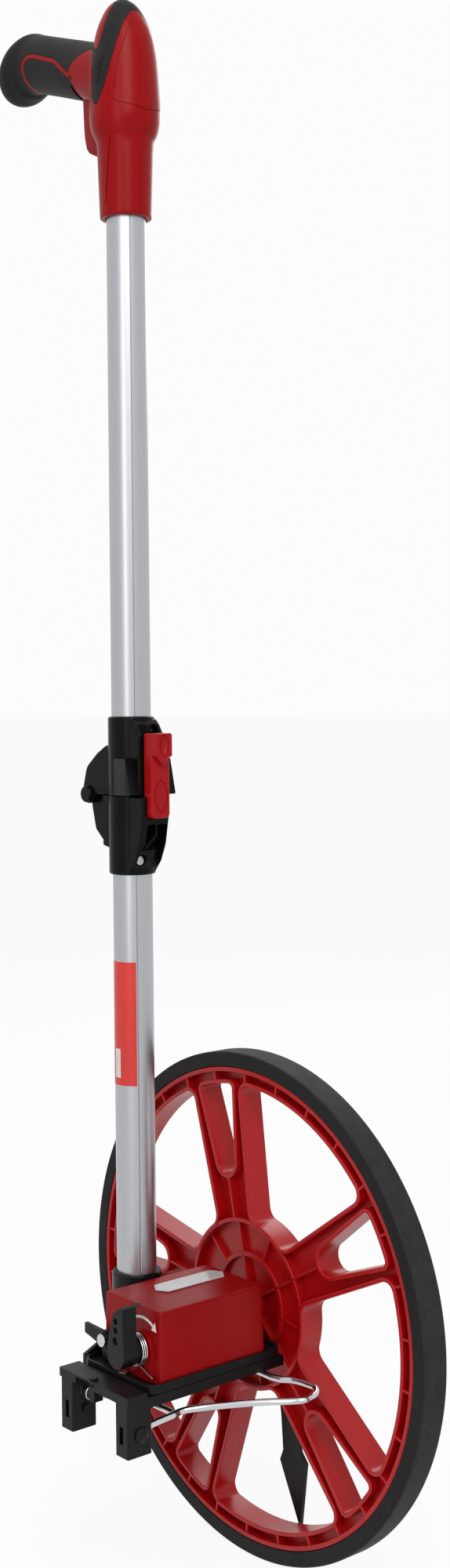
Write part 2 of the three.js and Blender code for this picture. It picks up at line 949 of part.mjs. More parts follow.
// A pan-head screw along an axis, its head on the side that way points to
function screw(axis, u, v, seat, way) {
  const order = (a, b) => [Math.min(a, b), Math.max(a, b)];
  const head = rod(axis, u, v, screwHeadRadius, ...order(seat, seat + way * screwHeadLength));
  const inHead = seat + (way * screwHeadLength) / 2;
  const shank = rod(axis, u, v, screwRadius, ...order(inHead, seat - way * screwLength));
  return join(head, shank);
}
const trayScrewLengthShare = 0.3;
piece(
  "tray_screw",
  cut(
    screw("z", screwX, screwY, trayFloor + gap, 1),
    box(
      screwX - screwHeadRadius,
      screwX + screwHeadRadius,
      screwY - screwHeadRadius,
      screwY + screwHeadRadius,
      trayFloor - screwLength - overrun,
      trayFloor - screwLength * trayScrewLengthShare,
    ),
  ),
  steel,
);

// Counter housing: a drafted shell open below, with an arched boss round the reset shaft
const houseBottom = trayFloor + gap;
const edgeFallShare = 0.3;
const houseRing = (inset, z) =>
  rounded(
    rectangle(houseLeft + inset, houseRight - inset, houseFront + inset, houseBack - inset),
    Math.max(houseCorner - inset / 2, houseEdge / 2),
  ).map((point) => new THREE.Vector3(point.x, point.y, z));
const houseOutside = loft([
  houseRing(0, houseBottom),
  houseRing(houseDraft, houseTop - houseEdge),
  houseRing(houseDraft + houseEdge * edgeFallShare, houseTop - houseEdge * edgeFallShare),
  houseRing(houseDraft + houseEdge, houseTop),
]);
const houseInside = loft([
  houseRing(houseWall, houseBottom - overrun),
  houseRing(houseWall + houseDraft, houseTop - houseWall),
]);
const resetArch = prism(
  [
    at(resetX - resetBossRadius, houseBottom),
    at(resetX + resetBossRadius, houseBottom),
    ...arc(resetX, resetZ, resetBossRadius, 0, Math.PI),
  ],
  "y",
  houseFront - resetBossProud,
  houseFront + houseWall,
);
const lensPointShare = 1.4;
const lensOutline = (inset) => [
  at(lensMiddleX - lensWidth / 2 + inset, lensFront + lensPoint + inset),
  at(lensMiddleX, lensFront + inset * lensPointShare),
  at(lensMiddleX + lensWidth / 2 - inset, lensFront + lensPoint + inset),
  at(lensMiddleX + lensWidth / 2 - inset, lensBack - lensPoint - inset),
  at(lensMiddleX, lensBack - inset * lensPointShare),
  at(lensMiddleX - lensWidth / 2 + inset, lensBack - lensPoint - inset),
];
piece(
  "counter_housing",
  cut(
    join(houseOutside, resetArch),
    houseInside,
    prism(lensOutline(lensLip), "z", houseTop - houseWall - overrun, houseTop + overrun),
    rod("y", 0, 0, bushRadius + gap, houseBack - houseWall - overrun, houseBack + overrun),
    rod("y", resetX, resetZ, resetShaftRadius + gap, houseFront - overrun, houseFront + houseWall + overrun),
  ),
  redPlastic,
);
piece(
  "window_lens",
  join(
    prism(lensOutline(0), "z", houseTop + gap, houseTop + gap + lensProud),
    prism(lensOutline(lensLip + gap), "z", houseTop - lensDepth, houseTop + gap + lensProud / 2),
  ),
  clear,
);

// Bushes that carry the axle in the housing's end wall and in the counter's front plate
const houseEndInside = houseBack - houseWall - houseDraft;
piece(
  "axle_bush",
  cut(
    join(
      rod("y", 0, 0, bushRadius, houseEndInside - gap, houseBack + gap),
      rod("y", 0, 0, bushFlangeRadius, houseBack + gap, houseBack + gap + bushFlange),
    ),
    rod("y", 0, 0, axleRadius + gap, houseEndInside - overrun, houseBack + overrun),
  ),
  brass,
);
const chassisInner = chassisFront + chassisWall;
piece(
  "axle_bush_front",
  cut(
    join(
      rod("y", 0, 0, frontBushRadius, chassisFront, chassisInner + gap),
      rod("y", 0, 0, frontBushRadius + bushFlange, chassisInner + gap, chassisInner + gap + bushFlange),
    ),
    rod("y", 0, 0, axleRadius + gap, chassisFront - overrun, chassisInner + overrun),
  ),
  brass,
);

// Counter chassis: a floor with a plate at each end
const chassisFloor = trayFloor + gap;
const chassisPlate = (from) =>
  box(chassisLeft, chassisRight, from, from + chassisWall, chassisFloor, chassisTop);
piece(
  "counter_chassis",
  cut(
    join(
      box(chassisLeft, chassisRight, chassisFront, chassisBack, chassisFloor, chassisFloor + chassisWall),
      chassisPlate(chassisFront),
      chassisPlate(chassisBack - chassisWall),
    ),
    rod("y", 0, 0, frontBushRadius + gap, chassisFront - overrun, chassisInner + overrun),
    rod("y", 0, 0, axleRadius + 2 * gap, chassisBack - chassisWall - overrun, chassisBack + overrun),
    rod("y", lensMiddleX, countZ, countShaftRadius + gap, chassisFront - overrun, chassisBack + overrun),
    rod("y", resetX, resetZ, resetShaftRadius + gap, chassisFront - overrun, chassisBack + overrun),
  ),
  steel,
);
piece(
  "counter_shaft",
  rod("y", lensMiddleX, countZ, countShaftRadius, chassisFront - gap, chassisBack + gap),
  steel,
);

// Drums: a rim, a thin web and a hub each, the fastest one next to the gears
const drumFirst = (lensFront + lensBack) / 2 - (drumPitch * (drumCount - 1)) / 2;
for (let i = 0; i < drumCount; i++) {
  const middle = drumFirst + i * drumPitch;
  const half = drumWidth / 2;
  piece(
    "drum_" + (i + 1),
    turned(
      [
        [countShaftRadius + gap, middle - drumWeb / 2],
        [drumRadius - drumRim, middle - drumWeb / 2],
        [drumRadius - drumRim, middle - half],
        [drumRadius, middle - half],
        [drumRadius, middle + half],
        [drumRadius - drumRim, middle + half],
        [drumRadius - drumRim, middle + drumWeb / 2],
        [countShaftRadius + gap, middle + drumWeb / 2],
        [countShaftRadius + gap, middle - drumWeb / 2],
      ],
      "y",
      lensMiddleX,
      countZ,
    ),
    whitePlastic,
  );
}

// Gears: the axle's gear and the drum's, one to one, a tooth of one in a gap of the other
const gearCentres = Math.hypot(lensMiddleX, countZ);
const gearPitchRadius = gearCentres / 2;
const gearWay = Math.atan2(countZ, lensMiddleX);
const toothTipShare = 0.17;
const toothFootShare = 0.27;
function gear(u, v, bore, phase) {
  const outline = [];
  const pitchAngle = turn / gearTeeth;
  const corner = (radius, angle) =>
    outline.push(at(u + radius * Math.cos(angle), v + radius * Math.sin(angle)));
  for (let i = 0; i < gearTeeth; i++) {
    const middle = phase + i * pitchAngle;
    corner(gearPitchRadius - gearDedendum, middle - pitchAngle * toothFootShare);
    corner(gearPitchRadius + gearAddendum, middle - pitchAngle * toothTipShare);
    corner(gearPitchRadius + gearAddendum, middle + pitchAngle * toothTipShare);
    corner(gearPitchRadius - gearDedendum, middle + pitchAngle * toothFootShare);
  }
  const from = gearY - gearWidth / 2;
  const to = gearY + gearWidth / 2;
  return cut(prism(outline, "y", from, to), rod("y", u, v, bore, from - overrun, to + overrun));
}
piece("drive_gear", gear(0, 0, axleRadius + gap, gearWay), brass);
piece(
  "counter_gear",
  gear(lensMiddleX, countZ, countShaftRadius + gap, gearWay + Math.PI + turn / gearTeeth / 2),
  whitePlastic,
);

// Reset shaft with a finger under each drum, and the lever on its outer end
const leverPocketEnd = leverFace + leverPadDepth / 2;
const fingerTurnShare = 200 / 360;
const fingerWay = turn * fingerTurnShare;
const finger = (y) => {
  const length = direction(fingerWay).multiplyScalar(fingerLength);
  const side = direction(fingerWay + quarter).multiplyScalar(fingerHalf);
  const centre = at(resetX, resetZ);
  return prism(
    [
      centre.clone().sub(side),
      centre.clone().add(length).sub(side),
      centre.clone().add(length).add(side),
      centre.clone().add(side),
    ],
    "y",
    y - fingerWidth / 2,
    y + fingerWidth / 2,
  );
};
piece(
  "reset_shaft",
  join(
    rod("y", resetX, resetZ, resetShaftRadius, leverPocketEnd + gap, chassisBack + gap),
    ...[...Array(drumCount).keys()].map((i) => finger(drumFirst + i * drumPitch)),
  ),
  steel,
);

// The lever's face as shares of its height, measured from the reset shaft
const leverShares = [
  [-0.06, 0.83],
  [-0.203, 0.42],
  [-0.29, 0],
  [0.29, 0],
  [0.285, 0.12],
  [0.25, 0.53],
  [0.26, 0.972],
  [0.183, 1],
];
const leverPoint = ([side, up]) => at(resetX + side * leverHeight, resetZ + up * leverHeight);
const leverOutline = [
  ...leverShares.slice(0, 3).map(leverPoint),
  ...arc(resetX, resetZ, leverBottomRadius, Math.PI, turn).slice(1, -1),
  ...leverShares.slice(3).map(leverPoint),
];
const padFromShare = 0.8;
const leverHoleShares = [
  [0.02, 0.68, 0.065],
  [0.014, 0.5, 0.065],
  [0, 0.28, 0.08],
];
piece(
  "reset_lever",
  cut(
    join(
      prism(leverOutline, "y", leverFace, leverBack),
      prism(
        leverOutline.filter((point) => point.y > resetZ + leverHeight * padFromShare),
        "y",
        leverBack - overrun,
        leverBack + leverPadDepth,
      ),
      rod("y", resetX, resetZ, leverHubRadius, leverBack - overrun, houseFront - resetBossProud - gap),
    ),
    rod("y", resetX, resetZ, resetShaftRadius + gap, leverPocketEnd, houseFront),
    ...leverHoleShares.map(([side, up, radius]) =>
      rod(
        "y",
        leverPoint([side, up]).x,
        leverPoint([side, up]).y,
        radius * leverHeight,
        leverFace - overrun,
        leverFace + leverHoleDepth,
      ),
    ),
  ),
  blackPlastic,
);

// Torsion spring round the lever's hub, one leg down to the tray
const twistFirst = houseFront - resetBossProud - 3 * gap;
const twistLeg = at(twistLegX - resetX, twistLegZ - resetZ);
const twistEnd = twistLeg.angle() - Math.acos(twistCoilRadius / twistLeg.length());
const twistPoints = [];
const twistSteps = Math.round(twistTurns * coilSteps);
for (let i = 0; i <= twistSteps; i++) {
  const back = (twistSteps - i) / coilSteps;
  const angle = twistEnd - back * turn;
  twistPoints.push(
    new THREE.Vector3(
      resetX + twistCoilRadius * Math.cos(angle),
      twistFirst - back * twistPitch,
      resetZ + twistCoilRadius * Math.sin(angle),
    ),
  );
}
const twistStart = twistEnd - twistTurns * turn;
const twistBack = new THREE.Vector3(Math.sin(twistStart), 0, -Math.cos(twistStart));
twistPoints.unshift(twistPoints[0].clone().addScaledVector(twistBack, 2 * twistWireRadius));
twistPoints.push(new THREE.Vector3(twistLegX, twistFirst, twistLegZ));
selfGap("torsion_spring", twistPoints, twistWireRadius, 5);
piece("torsion_spring", coil(twistPoints, twistWireRadius), chrome);

// Catch lever: a bar that rocks on a steel pin in front of the housing
const catchBack = postFront - gap;
const catchFront = catchBack - catchThickness;
const catchOutline = [
  ...arc(catchX, catchZ, catchHubRadius, -quarter, quarter),
  at(catchX - catchHubRadius / 2, catchZ + catchHubRadius + gap),
  at(catchX - catchReach, catchZ + catchHubRadius + 3 * gap),
  at(catchX - catchReach, catchZ + catchHubRadius + 3 * gap - catchArmHeight),
  at(catchX - catchHubRadius, catchZ - catchHubRadius / 2),
];
piece(
  "catch_lever",
  cut(
    prism(catchOutline, "y", catchFront, catchBack),
    rod("y", catchX, catchZ, catchPinRadius + gap, catchFront - overrun, catchBack + overrun),
  ),
  blackPlastic,
);
piece(
  "catch_pin",
  join(
    rod("y", catchX, catchZ, catchPinRadius, catchFront - catchHeadLength, houseFront - gap),
    rod("y", catchX, catchZ, catchHeadRadius, catchFront - gap - catchHeadLength, catchFront - gap),
  ),
  chrome,
);

// Stand: the wire lies in a plane that rises from the legs towards the wheel
const standZ = (y) => standPivotZ + (standRise * (y - standPivotY)) / standLength;
const onStand = (reach, run) => {
  const y = standPivotY + run;
  return new THREE.Vector3(standMiddleX + reach, y, standZ(y));
};
const capSeat = legSpread + legWidth / 2 + gap;
const capHoldShare = 0.4;
const capHoleShare = 0.6;
const wireSides = 6;
const standHalfShares = [
  [1, 0.15],
  [1.035, 0.27],
  [1.09, 0.38],
  [1.69, 0.6],
  [2.19, 0.755],
];
const earShares = [
  [0.965, 0.885],
  [0.99, 0.945],
  [0.975, 1.01],
  [0.9, 1.058],
  [0.79, 1.062],
  [0.67, 1.045],
  [0.59, 1.01],
  [0.5, 0.99],
];
const standHalf = [
  onStand(capSeat + standCapLength * capHoldShare, 0),
  onStand(standArmSpread, 0),
  ...standHalfShares.map(([reach, run]) => onStand(reach * standArmSpread, run * standLength)),
  ...earShares.map(([reach, run]) => onStand(reach * standEarReach, run * standLength)),
];
const standPath = [
  ...standHalf,
  ...standHalf
    .map((point) => new THREE.Vector3(2 * standMiddleX - point.x, point.y, point.z))
    .reverse(),
];
piece("stand_wire", swept(bent(standPath, wireBend), wireRadius, wireSides), chrome);

const crossY = standPivotY + crossRodOffset;
const crossZ = standZ(crossY);
const armAtCrossShare = 1.045;
const armAtCross = standArmSpread * armAtCrossShare;
const crossHalf = armAtCross - wireRadius - gap;
piece(
  "stand_cross_rod",
  rod("x", crossY, crossZ, wireRadius, standMiddleX - crossHalf, standMiddleX + crossHalf),
  chrome,
);
const capShares = [
  [0, 1],
  [0.6, 0.9],
  [1, 0.4],
  [1, 0],
];
["far", "near"].forEach((name, i) => {
  const way = i * 2 - 1;
  const profile = [
    ...capShares.map(([out, along]) => [out * standCapRadius, capSeat + along * standCapLength]),
    [wireRadius + gap, capSeat],
    [wireRadius + gap, capSeat + standCapLength * capHoleShare],
    [0, capSeat + standCapLength * capHoleShare],
  ].map(([radius, along]) => [radius, standMiddleX + way * along]);
  piece("stand_cap_" + name, turned(profile, "x", standPivotY, standPivotZ), blackPlastic);
});

// Spring anchor: a block and a knob on a pin that the extension spring hooks round
const neckFrom = notchLeft + gap;
const blockFrom = pullX + anchorCheek / 2;
piece(
  "spring_anchor",
  join(
    rod("x", anchorY, anchorZ, anchorNeckRadius, neckFrom + anchorCheek, blockFrom + gap),
    rod(
      "x",
      anchorY,
      anchorZ,
      anchorFlangeRadius,
      neckFrom + anchorCheek - gap,
      neckFrom + anchorCheek + 3 * gap,
    ),
    box(
      blockFrom,
      notchRight - gap,
      anchorY - anchorBlock / 2,
      anchorY + anchorBlock / 2,
      anchorZ - anchorBlock / 2,
      plateBottom + anchorCheek / 2,
    ),
    rod("z", knobX, anchorY - gap, knobRadius, plateBottom - anchorCheek / 2, plateBottom + knobHeight),
    box(blockFrom - gap, knobX + gap, anchorY - gap * 2, anchorY, anchorZ, plateBottom),
  ),
  blackPlastic,
);

// Extension spring from the anchor to the stand's cross rod, which it holds up and down
const pullStart = new THREE.Vector3(pullX, anchorY, anchorZ);
const pullEnd = new THREE.Vector3(pullX, crossY, crossZ);
const pullWay = pullEnd.clone().sub(pullStart).normalize();
const pullUp = new THREE.Vector3(0, -pullWay.z, pullWay.y);
const pullSide = new THREE.Vector3(1, 0, 0);
const pullSpan = pullEnd.distanceTo(pullStart);
const pullAt = (along, up, side = 0) =>
  pullStart
    .clone()
    .addScaledVector(pullWay, along)
    .addScaledVector(pullUp, up)
    .addScaledVector(pullSide, side);
const loopRadius = anchorFlangeRadius + pullWireRadius + gap;
const hookRadius = wireRadius + gap + pullWireRadius;
const coilsLength = pullPitch * pullTurns;
const coilsFrom = (pullSpan + loopRadius - hookRadius - coilsLength) / 2;
const pullPoints = [];
const loopTurnShares = [0.06, 0.16, 0.28, 0.4, 0.52, 0.64, 0.76, 0.88];
loopTurnShares.forEach((share) =>
  pullPoints.push(pullAt(loopRadius * Math.cos(share * turn), loopRadius * Math.sin(share * turn))),
);
pullPoints.unshift(pullPoints[0].clone().addScaledVector(pullWay, 2 * pullWireRadius));
for (let i = 0; i <= pullTurns * coilSteps; i++) {
  const angle = (i * turn) / coilSteps - quarter;
  const along = coilsFrom + (i * pullPitch) / coilSteps;
  pullPoints.push(pullAt(along, pullCoilRadius * Math.sin(angle), pullCoilRadius * Math.cos(angle)));
}
const hookTurnShares = [0.42, 0.34, 0.25, 0.16, 0.07, -0.02, -0.1];
hookTurnShares.forEach((share) =>
  pullPoints.push(
    pullAt(pullSpan + hookRadius * Math.cos(share * turn), hookRadius * Math.sin(share * turn)),
  ),
);
selfGap("extension_spring", pullPoints, pullWireRadius, 5);
piece("extension_spring", coil(pullPoints, pullWireRadius), chrome);

// Pole tubes, each with a thin flute along it
function tube(from, to) {
  const flute = turn * tubeFluteTurnShare;
  const outline = circle(poleX, poleY, tubeRadius);
  const groove = [
    at(tubeRadius - tubeFluteDepth, 0),
    at(tubeRadius + tubeFluteDepth, -tubeFluteWidth / 2),
    at(tubeRadius + tubeFluteDepth, tubeFluteWidth / 2),
  ].map((point) => point.rotateAround(at(0, 0), flute).add(at(poleX, poleY)));
  return cut(
    prism(outline, "z", from, to),
    rod("z", poleX, poleY, tubeRadius - tubeWall, from - overrun, to + overrun),
    prism(groove, "z", from - overrun, to + overrun),
  );
}
const lowerTubeFrom = deckBottom + gap;
const tubeSink = 50;
const upperTubeTo = neckBottom + tubeSink;
piece("lower_tube", cut(tube(lowerTubeFrom, hingeZ - tubeStop - gap), poleScrewHole), aluminium);
piece("upper_tube", tube(hingeZ + tubeStop + gap, upperTubeTo), aluminium);
piece("pole_screw", screw("x", poleY, poleScrewZ, poleX - socketRadius - gap, -1), steel);

// Fold hinge, drawn from the pole's axis (u towards +X) and the height where its halves part
const pinX = poleX - pinOffset;
const hingeFin = (shares, way) =>
  shares.map(([out, up]) =>
    at(poleX - out * finOuterReach, hingeZ + way * Math.max(up * hingeHeight, gap / 2)),
  );
const upperFinShares = [
  [0.2, 0],
  [1, 0],
  [1, 0.052],
  [0.888, 0.35],
  [0.6, 0.53],
  [0.35, 0.635],
  [0.2, 0.635],
];
const lowerFinShares = [
  [0.2, 0],
  [0.87, 0],
  [0.862, 0.149],
  [0.72, 0.46],
  [0.465, 0.625],
  [0.315, 0.67],
  [0.2, 0.67],
];
const hingePrism = (outline, half) => prism(outline, "y", poleY - half, poleY + half);
const hingeBlock = (u0, u1, v0, v1, z0, z1) =>
  box(poleX + u0, poleX + u1, poleY + v0, poleY + v1, hingeZ + z0, hingeZ + z1);
const hingeBarrel = (way) =>
  turned(
    [
      [0, hingeZ + (way * gap) / 2],
      [hingeRadius, hingeZ + (way * gap) / 2],
      [hingeRadius, hingeZ + way * (hingeHeight - hingeEdge)],
      [hingeRadius - hingeEdge, hingeZ + way * hingeHeight],
      [0, hingeZ + way * hingeHeight],
    ],
    "z",
    poleX,
    poleY,
  );
const tubeBore = (way) => {
  const ends = [hingeZ + way * tubeStop, hingeZ + way * (hingeHeight + overrun)];
  return rod("z", poleX, poleY, tubeRadius + gap, Math.min(...ends), Math.max(...ends));
};
const pinHole = rod(
  "y",
  pinX,
  hingeZ,
  pinRadius + gap,
  poleY - finHalf - overrun,
  poleY + finHalf + overrun,
);
const cheekInner = poleX - pinOffset + knuckleRadius + 3 * gap;
const wideEdge = cheekInner + gap * 3;

const lowerFrontShares = [
  [0, 0],
  [1, 0],
  [1, 0.25],
  [0.866, 0.61],
  [0.67, 0.83],
  [0.4, 0.99],
  [0, 0.99],
];
const lowerFront = lowerFrontShares.map(([out, down]) =>
  at(poleX + out * frontReach, hingeZ - Math.max(down * hingeHeight, gap / 2)),
);
const seatScrewShares = { out: 0.55, side: 0.58, down: 0.81 };
const seatScrewX = poleX + frontReach * seatScrewShares.out;
const seatScrewY = poleY - frontHalf * seatScrewShares.side;
const seatScrewZ = hingeZ - hingeHeight * seatScrewShares.down;
const screwRecess = screwHeadRadius + 3 * gap;
const finRecess = box(
  poleX - finOuterReach - overrun,
  wideEdge,
  poleY - hingeRadius,
  poleY + hingeRadius,
  hingeZ - hingeHeight,
  hingeZ + overrun,
);

// The hollow below the latch, with an upright wall, a slanted wall and a floor left standing in it
const cavityFloorShare = 0.72;
const cavityWallShare = 0.25;
const cavityWallReachShare = 0.8;
const slantFromShare = 0.8;
const slantToShare = 1.2;
const slantHeight = frontWall * 1.6;
const slantFrom = hingeZ - cavityBottom * slantFromShare;
const slantTo = hingeZ - cavityTop * slantToShare;
const frontHollow = cut(
  hingeBlock(
    tubeRadius + gap + frontWall,
    frontReach + overrun,
    -frontHalf + frontWall,
    frontHalf - frontWall,
    -cavityBottom,
    -cavityTop,
  ),
  hingeBlock(0, frontReach, -frontHalf, -gap, -hingeHeight, -cavityBottom * cavityFloorShare),
  hingeBlock(
    0,
    frontReach * cavityWallReachShare,
    frontHalf * cavityWallShare,
    frontHalf * cavityWallShare + frontWall,
    -hingeHeight,
    0,
  ),
  hingePrism(
    [
      at(poleX, slantFrom),
      at(poleX, slantFrom - slantHeight),
      at(poleX + frontReach, slantTo),
      at(poleX + frontReach, slantTo + slantHeight),
    ],
    frontHalf,
  ),
);
const latchSeat = hingeBlock(
  frontUpperReach,
  frontReach + overrun,
  -latchHalf - gap,
  latchHalf + gap,
  -latchBottom - gap * 2,
  overrun,
);
const hingeLower = cut(
  join(
    hingeBarrel(-1),
    hingePrism(hingeFin(lowerFinShares, -1), tongueHalf),
    cut(
      hingePrism(hingeFin(lowerFinShares, -1), finHalf),
      finRecess,
    ),
    rod("y", pinX, hingeZ, knuckleRadius, poleY - tongueHalf, poleY + tongueHalf),
    hingePrism(lowerFront, frontHalf),
  ),
  tubeBore(-1),
  pinHole,
  latchSeat,
  frontHollow,
  rod("x", seatScrewY, seatScrewZ, screwRecess, seatScrewX, poleX + frontReach + overrun),
  rod("x", seatScrewY, seatScrewZ, screwRadius + gap, poleX + tubeRadius - overrun, poleX + frontReach),
);
piece("hinge_lower", hingeLower, blackPlastic);
piece(
  "hinge_screw",
  cut(
    screw("x", seatScrewY, seatScrewZ, seatScrewX + gap, 1),
    rod("z", poleX, poleY, tubeRadius + gap, hingeZ - hingeHeight, hingeZ),
  ),
  steel,
);

const upperFrontShares = [
  [0, 0],
  [1, 0],
  [1, 0.76],
  [0.84, 0.815],
  [0.47, 1],
  [0, 1],
];
const upperFront = upperFrontShares.map(([out, up]) =>
  at(poleX + out * frontUpperReach, hingeZ + Math.max(up * hingeHeight, gap / 2)),
);

// Two wings beside the latch, joined through the barrel
const wingTop = wingReach - wingThickness * 1.5;
const wingOutline = [
  at(poleX, hingeZ + gap),
  at(poleX + wingReach, hingeZ + gap * 2),
  at(poleX + wingTop, hingeZ + wingHeight),
  at(poleX, hingeZ + wingHeight),
];
const wings = cut(
  hingePrism(wingOutline, wingHalf),
  hingePrism(grown(wingOutline, overrun), wingHalf - wingThickness),
);
const wingBridge = hingeBlock(
  tubeRadius / 2,
  tubeRadius + 2 * frontWall,
  -wingHalf + gap,
  wingHalf - gap,
  gap,
  wingHeight,
);
const wingTrim = hingeBlock(
  -frontReach,
  tubeRadius / 2,
  -wingHalf - overrun,
  wingHalf + overrun,
  -overrun,
  wingHeight + overrun,
);
const tongueSlot = box(
  poleX - finOuterReach - overrun,
  cheekInner,
  poleY - tongueHalf - gap,
  poleY + tongueHalf + gap,
  hingeZ - knuckleRadius * 2,
  hingeZ + hingeHeight,
);
const latchRibSlot = hingeBlock(
  tubeRadius + 2 * gap + frontWall / 2,
  frontReach,
  -latchRibHalf - gap,
  latchRibHalf + gap,
  tubeStop,
  latchSlotTop,
);
const hingeUpper = cut(
  join(
    hingeBarrel(1),
    hingePrism(hingeFin(upperFinShares, 1), finHalf),
    rod("y", pinX, hingeZ, cheekRadius, poleY - finHalf, poleY + finHalf),
    hingePrism(upperFront, frontHalf),
    cut(join(wings, wingBridge), wingTrim),
  ),
  tongueSlot,
  tubeBore(1),
  pinHole,
  latchRibSlot,
);
piece("hinge_upper", hingeUpper, blackPlastic);

// Hinge pin: a plain rod with a domed head on one side and a flat one on the other
const pinFace = finHalf + gap;
const pinDomeShares = [
  [1, 0],
  [1, 0.4],
  [0.6, 1],
];
piece(
  "hinge_pin",
  join(
    rod(
      "y",
      pinX,
      hingeZ,
      pinRadius,
      poleY - pinFace - pinHeadLength / 2,
      poleY + pinFace + pinHeadLength / 2,
    ),
    turned(
      [
        [0, poleY - pinFace],
        ...pinDomeShares.map(([out, along]) => [
          out * pinHeadRadius,
          poleY - pinFace - along * pinHeadLength,
        ]),
        [0, poleY - pinFace - pinHeadLength],
      ],
      "y",
      pinX,
      hingeZ,
    ),
    rod("y", pinX, hingeZ, pinTailRadius, poleY + pinFace, poleY + pinFace + pinHeadLength / 2),
  ),
  blackPlastic,
);

// Latch: a slider on the upper half that spans the parting line, with a deeper pad at its top
const latchInner = frontUpperReach + gap;
const latchOutline = rounded(
  rectangle(poleY - latchHalf, poleY + latchHalf, hingeZ - latchBottom, hingeZ + latchTop),
  [latchFootCorner, latchFootCorner, latchEdge, latchEdge],
);
const latchPad = prism(
  rounded(
    [
      at(poleX + latchInner, hingeZ + latchTop - latchPadHeight),
      at(poleX + latchFace, hingeZ + latchTop - latchPadHeight - latchEdge),
      at(poleX + latchPadFace, hingeZ + latchTop - latchPadHeight + latchEdge * 2),
      at(poleX + latchPadFace, hingeZ + latchTop),
      at(poleX + latchInner, hingeZ + latchTop),
    ],
    [0, latchEdge, latchEdge, latchEdge, 0],
  ),
  "y",
  poleY - latchPadHalf,
  poleY + latchPadHalf,
);
const thumbRecess = turned(
  [
    [0, poleX + latchPadFace - latchEdge / 2],
    [thumbRadius, poleX + latchPadFace + gap],
    [0, poleX + latchPadFace + gap],
  ],
  "x",
  poleY,
  hingeZ + latchTop - latchPadHeight / 2,
);
const sightArc = (radius, middle) =>
  arc(0, 0, radius, middle - sightSweep, middle + sightSweep).map(({ x, y }) =>
    at(poleY + x, hingeZ + y * sightStretch),
  );
const sightRing = (radius) => [...sightArc(radius, 0), ...sightArc(radius, Math.PI)];
const latchGroove = cut(
  prism(sightRing(sightHalf), "x", poleX + latchFace - grooveDepth, poleX + latchFace + overrun),
  prism(
    sightRing(sightHalf - grooveWidth),
    "x",
    poleX + latchFace - overrun,
    poleX + latchFace + 2 * overrun,
  ),
);
piece(
  "latch",
  cut(
    join(
      prism(latchOutline, "x", poleX + latchInner, poleX + latchFace),
      latchPad,
      hingeBlock(
        latchInner - latchRibDepth,
        latchInner + gap,
        -latchRibHalf,
        latchRibHalf,
        tubeStop + gap,
        tubeStop + gap + latchRibHeight,
      ),
    ),
    thumbRecess,
    latchGroove,
  ),
  redPlastic,
);

// Latch spring: presses the latch down from the top of its slot
const latchSpringFrom = hingeZ + tubeStop + latchRibHeight + 2 * gap + latchWireRadius;
const latchSpringX = poleX + latchInner - latchRibDepth / 2;
const latchPoints = [];
for (let i = 0; i <= latchTurns * coilSteps; i++) {
  const angle = (i * turn) / coilSteps;
  latchPoints.push(
    new THREE.Vector3(
      latchSpringX + latchCoilRadius * Math.cos(angle),
      poleY + latchCoilRadius * Math.sin(angle),
      latchSpringFrom + latchWireRadius + (i * latchPitch) / coilSteps,
    ),
  );
}
selfGap("latch_spring", latchPoints, latchWireRadius, 5);
piece("latch_spring", coil(latchPoints, latchWireRadius), steel);

// Handle: neck and head on the pole, and a tilted grip with a flared butt
const handleTurn = (gripTilt / 360) * turn;
const headShares = [
  [-1, neckRadius / headRadius, 0],
  [0, neckTopRadius / headRadius, 0],
  [0.11, 1, 0],
  [0.42, 0.965, 0],
  [0.62, 0.9, -0.01],
  [0.76, 0.79, -0.02],
  [0.87, 0.62, -0.03],
  [0.95, 0.42, -0.04],
  [1, 0.16, -0.05],
];
const neckTop = neckBottom + neckHeight;
const headRings = (grow) =>
  headShares.map(([height, reach, lean]) => {
    const headHeight = headTop + grow - neckTop;
    const z = neckTop + height * (height < 0 ? neckHeight : headHeight);
    const radius = reach * headRadius + (height > 0 ? grow : 0);
    return arc(poleX + lean * headRadius, poleY, radius, 0, turn, handleSides)
      .slice(1)
      .map((point) => new THREE.Vector3(point.x, point.y, z));
  });

// The grip's rings: place along it, reach down and to the side, and drop below its middle line
const gripShares = [
  [-0.12, 1.16, 0.98, -0.06],
  [0.02, 1.06, 0.98, -0.02],
  [0.14, 0.99, 0.98, 0],
  [0.7, 1, 1, 0.01],
  [0.8, 1.1, 1.1, 0.09],
  [0.88, 1.22, 1.2, 0.18],
  [0.95, 1.2, 1.18, 0.18],
  [1, 1.02, 1, 0.14],
  [1.03, 0.7, 0.7, 0.1],
];
const gripWay = new THREE.Vector3(-Math.cos(handleTurn), 0, Math.sin(handleTurn));
const gripDown = new THREE.Vector3(-Math.sin(handleTurn), 0, -Math.cos(handleTurn));
const gripRings = (grow) =>
  gripShares.map(([along, reach, side, drop]) => {
    const centre = new THREE.Vector3(gripRootX, poleY, gripRootZ)
      .addScaledVector(gripWay, along * gripLength + (along > 1 ? grow : 0))
      .addScaledVector(gripDown, drop * gripRadius);
    return arc(0, 0, 1, 0, turn, handleSides)
      .slice(1)
      .map((point) =>
        centre
          .clone()
          .addScaledVector(gripDown, -point.y * (reach * gripRadius + grow))
          .add(new THREE.Vector3(0, point.x * (side * gripSide + grow), 0)),
      );
  });
const handleBody = (grow) => join(loft(headRings(grow)), loft(gripRings(grow)));

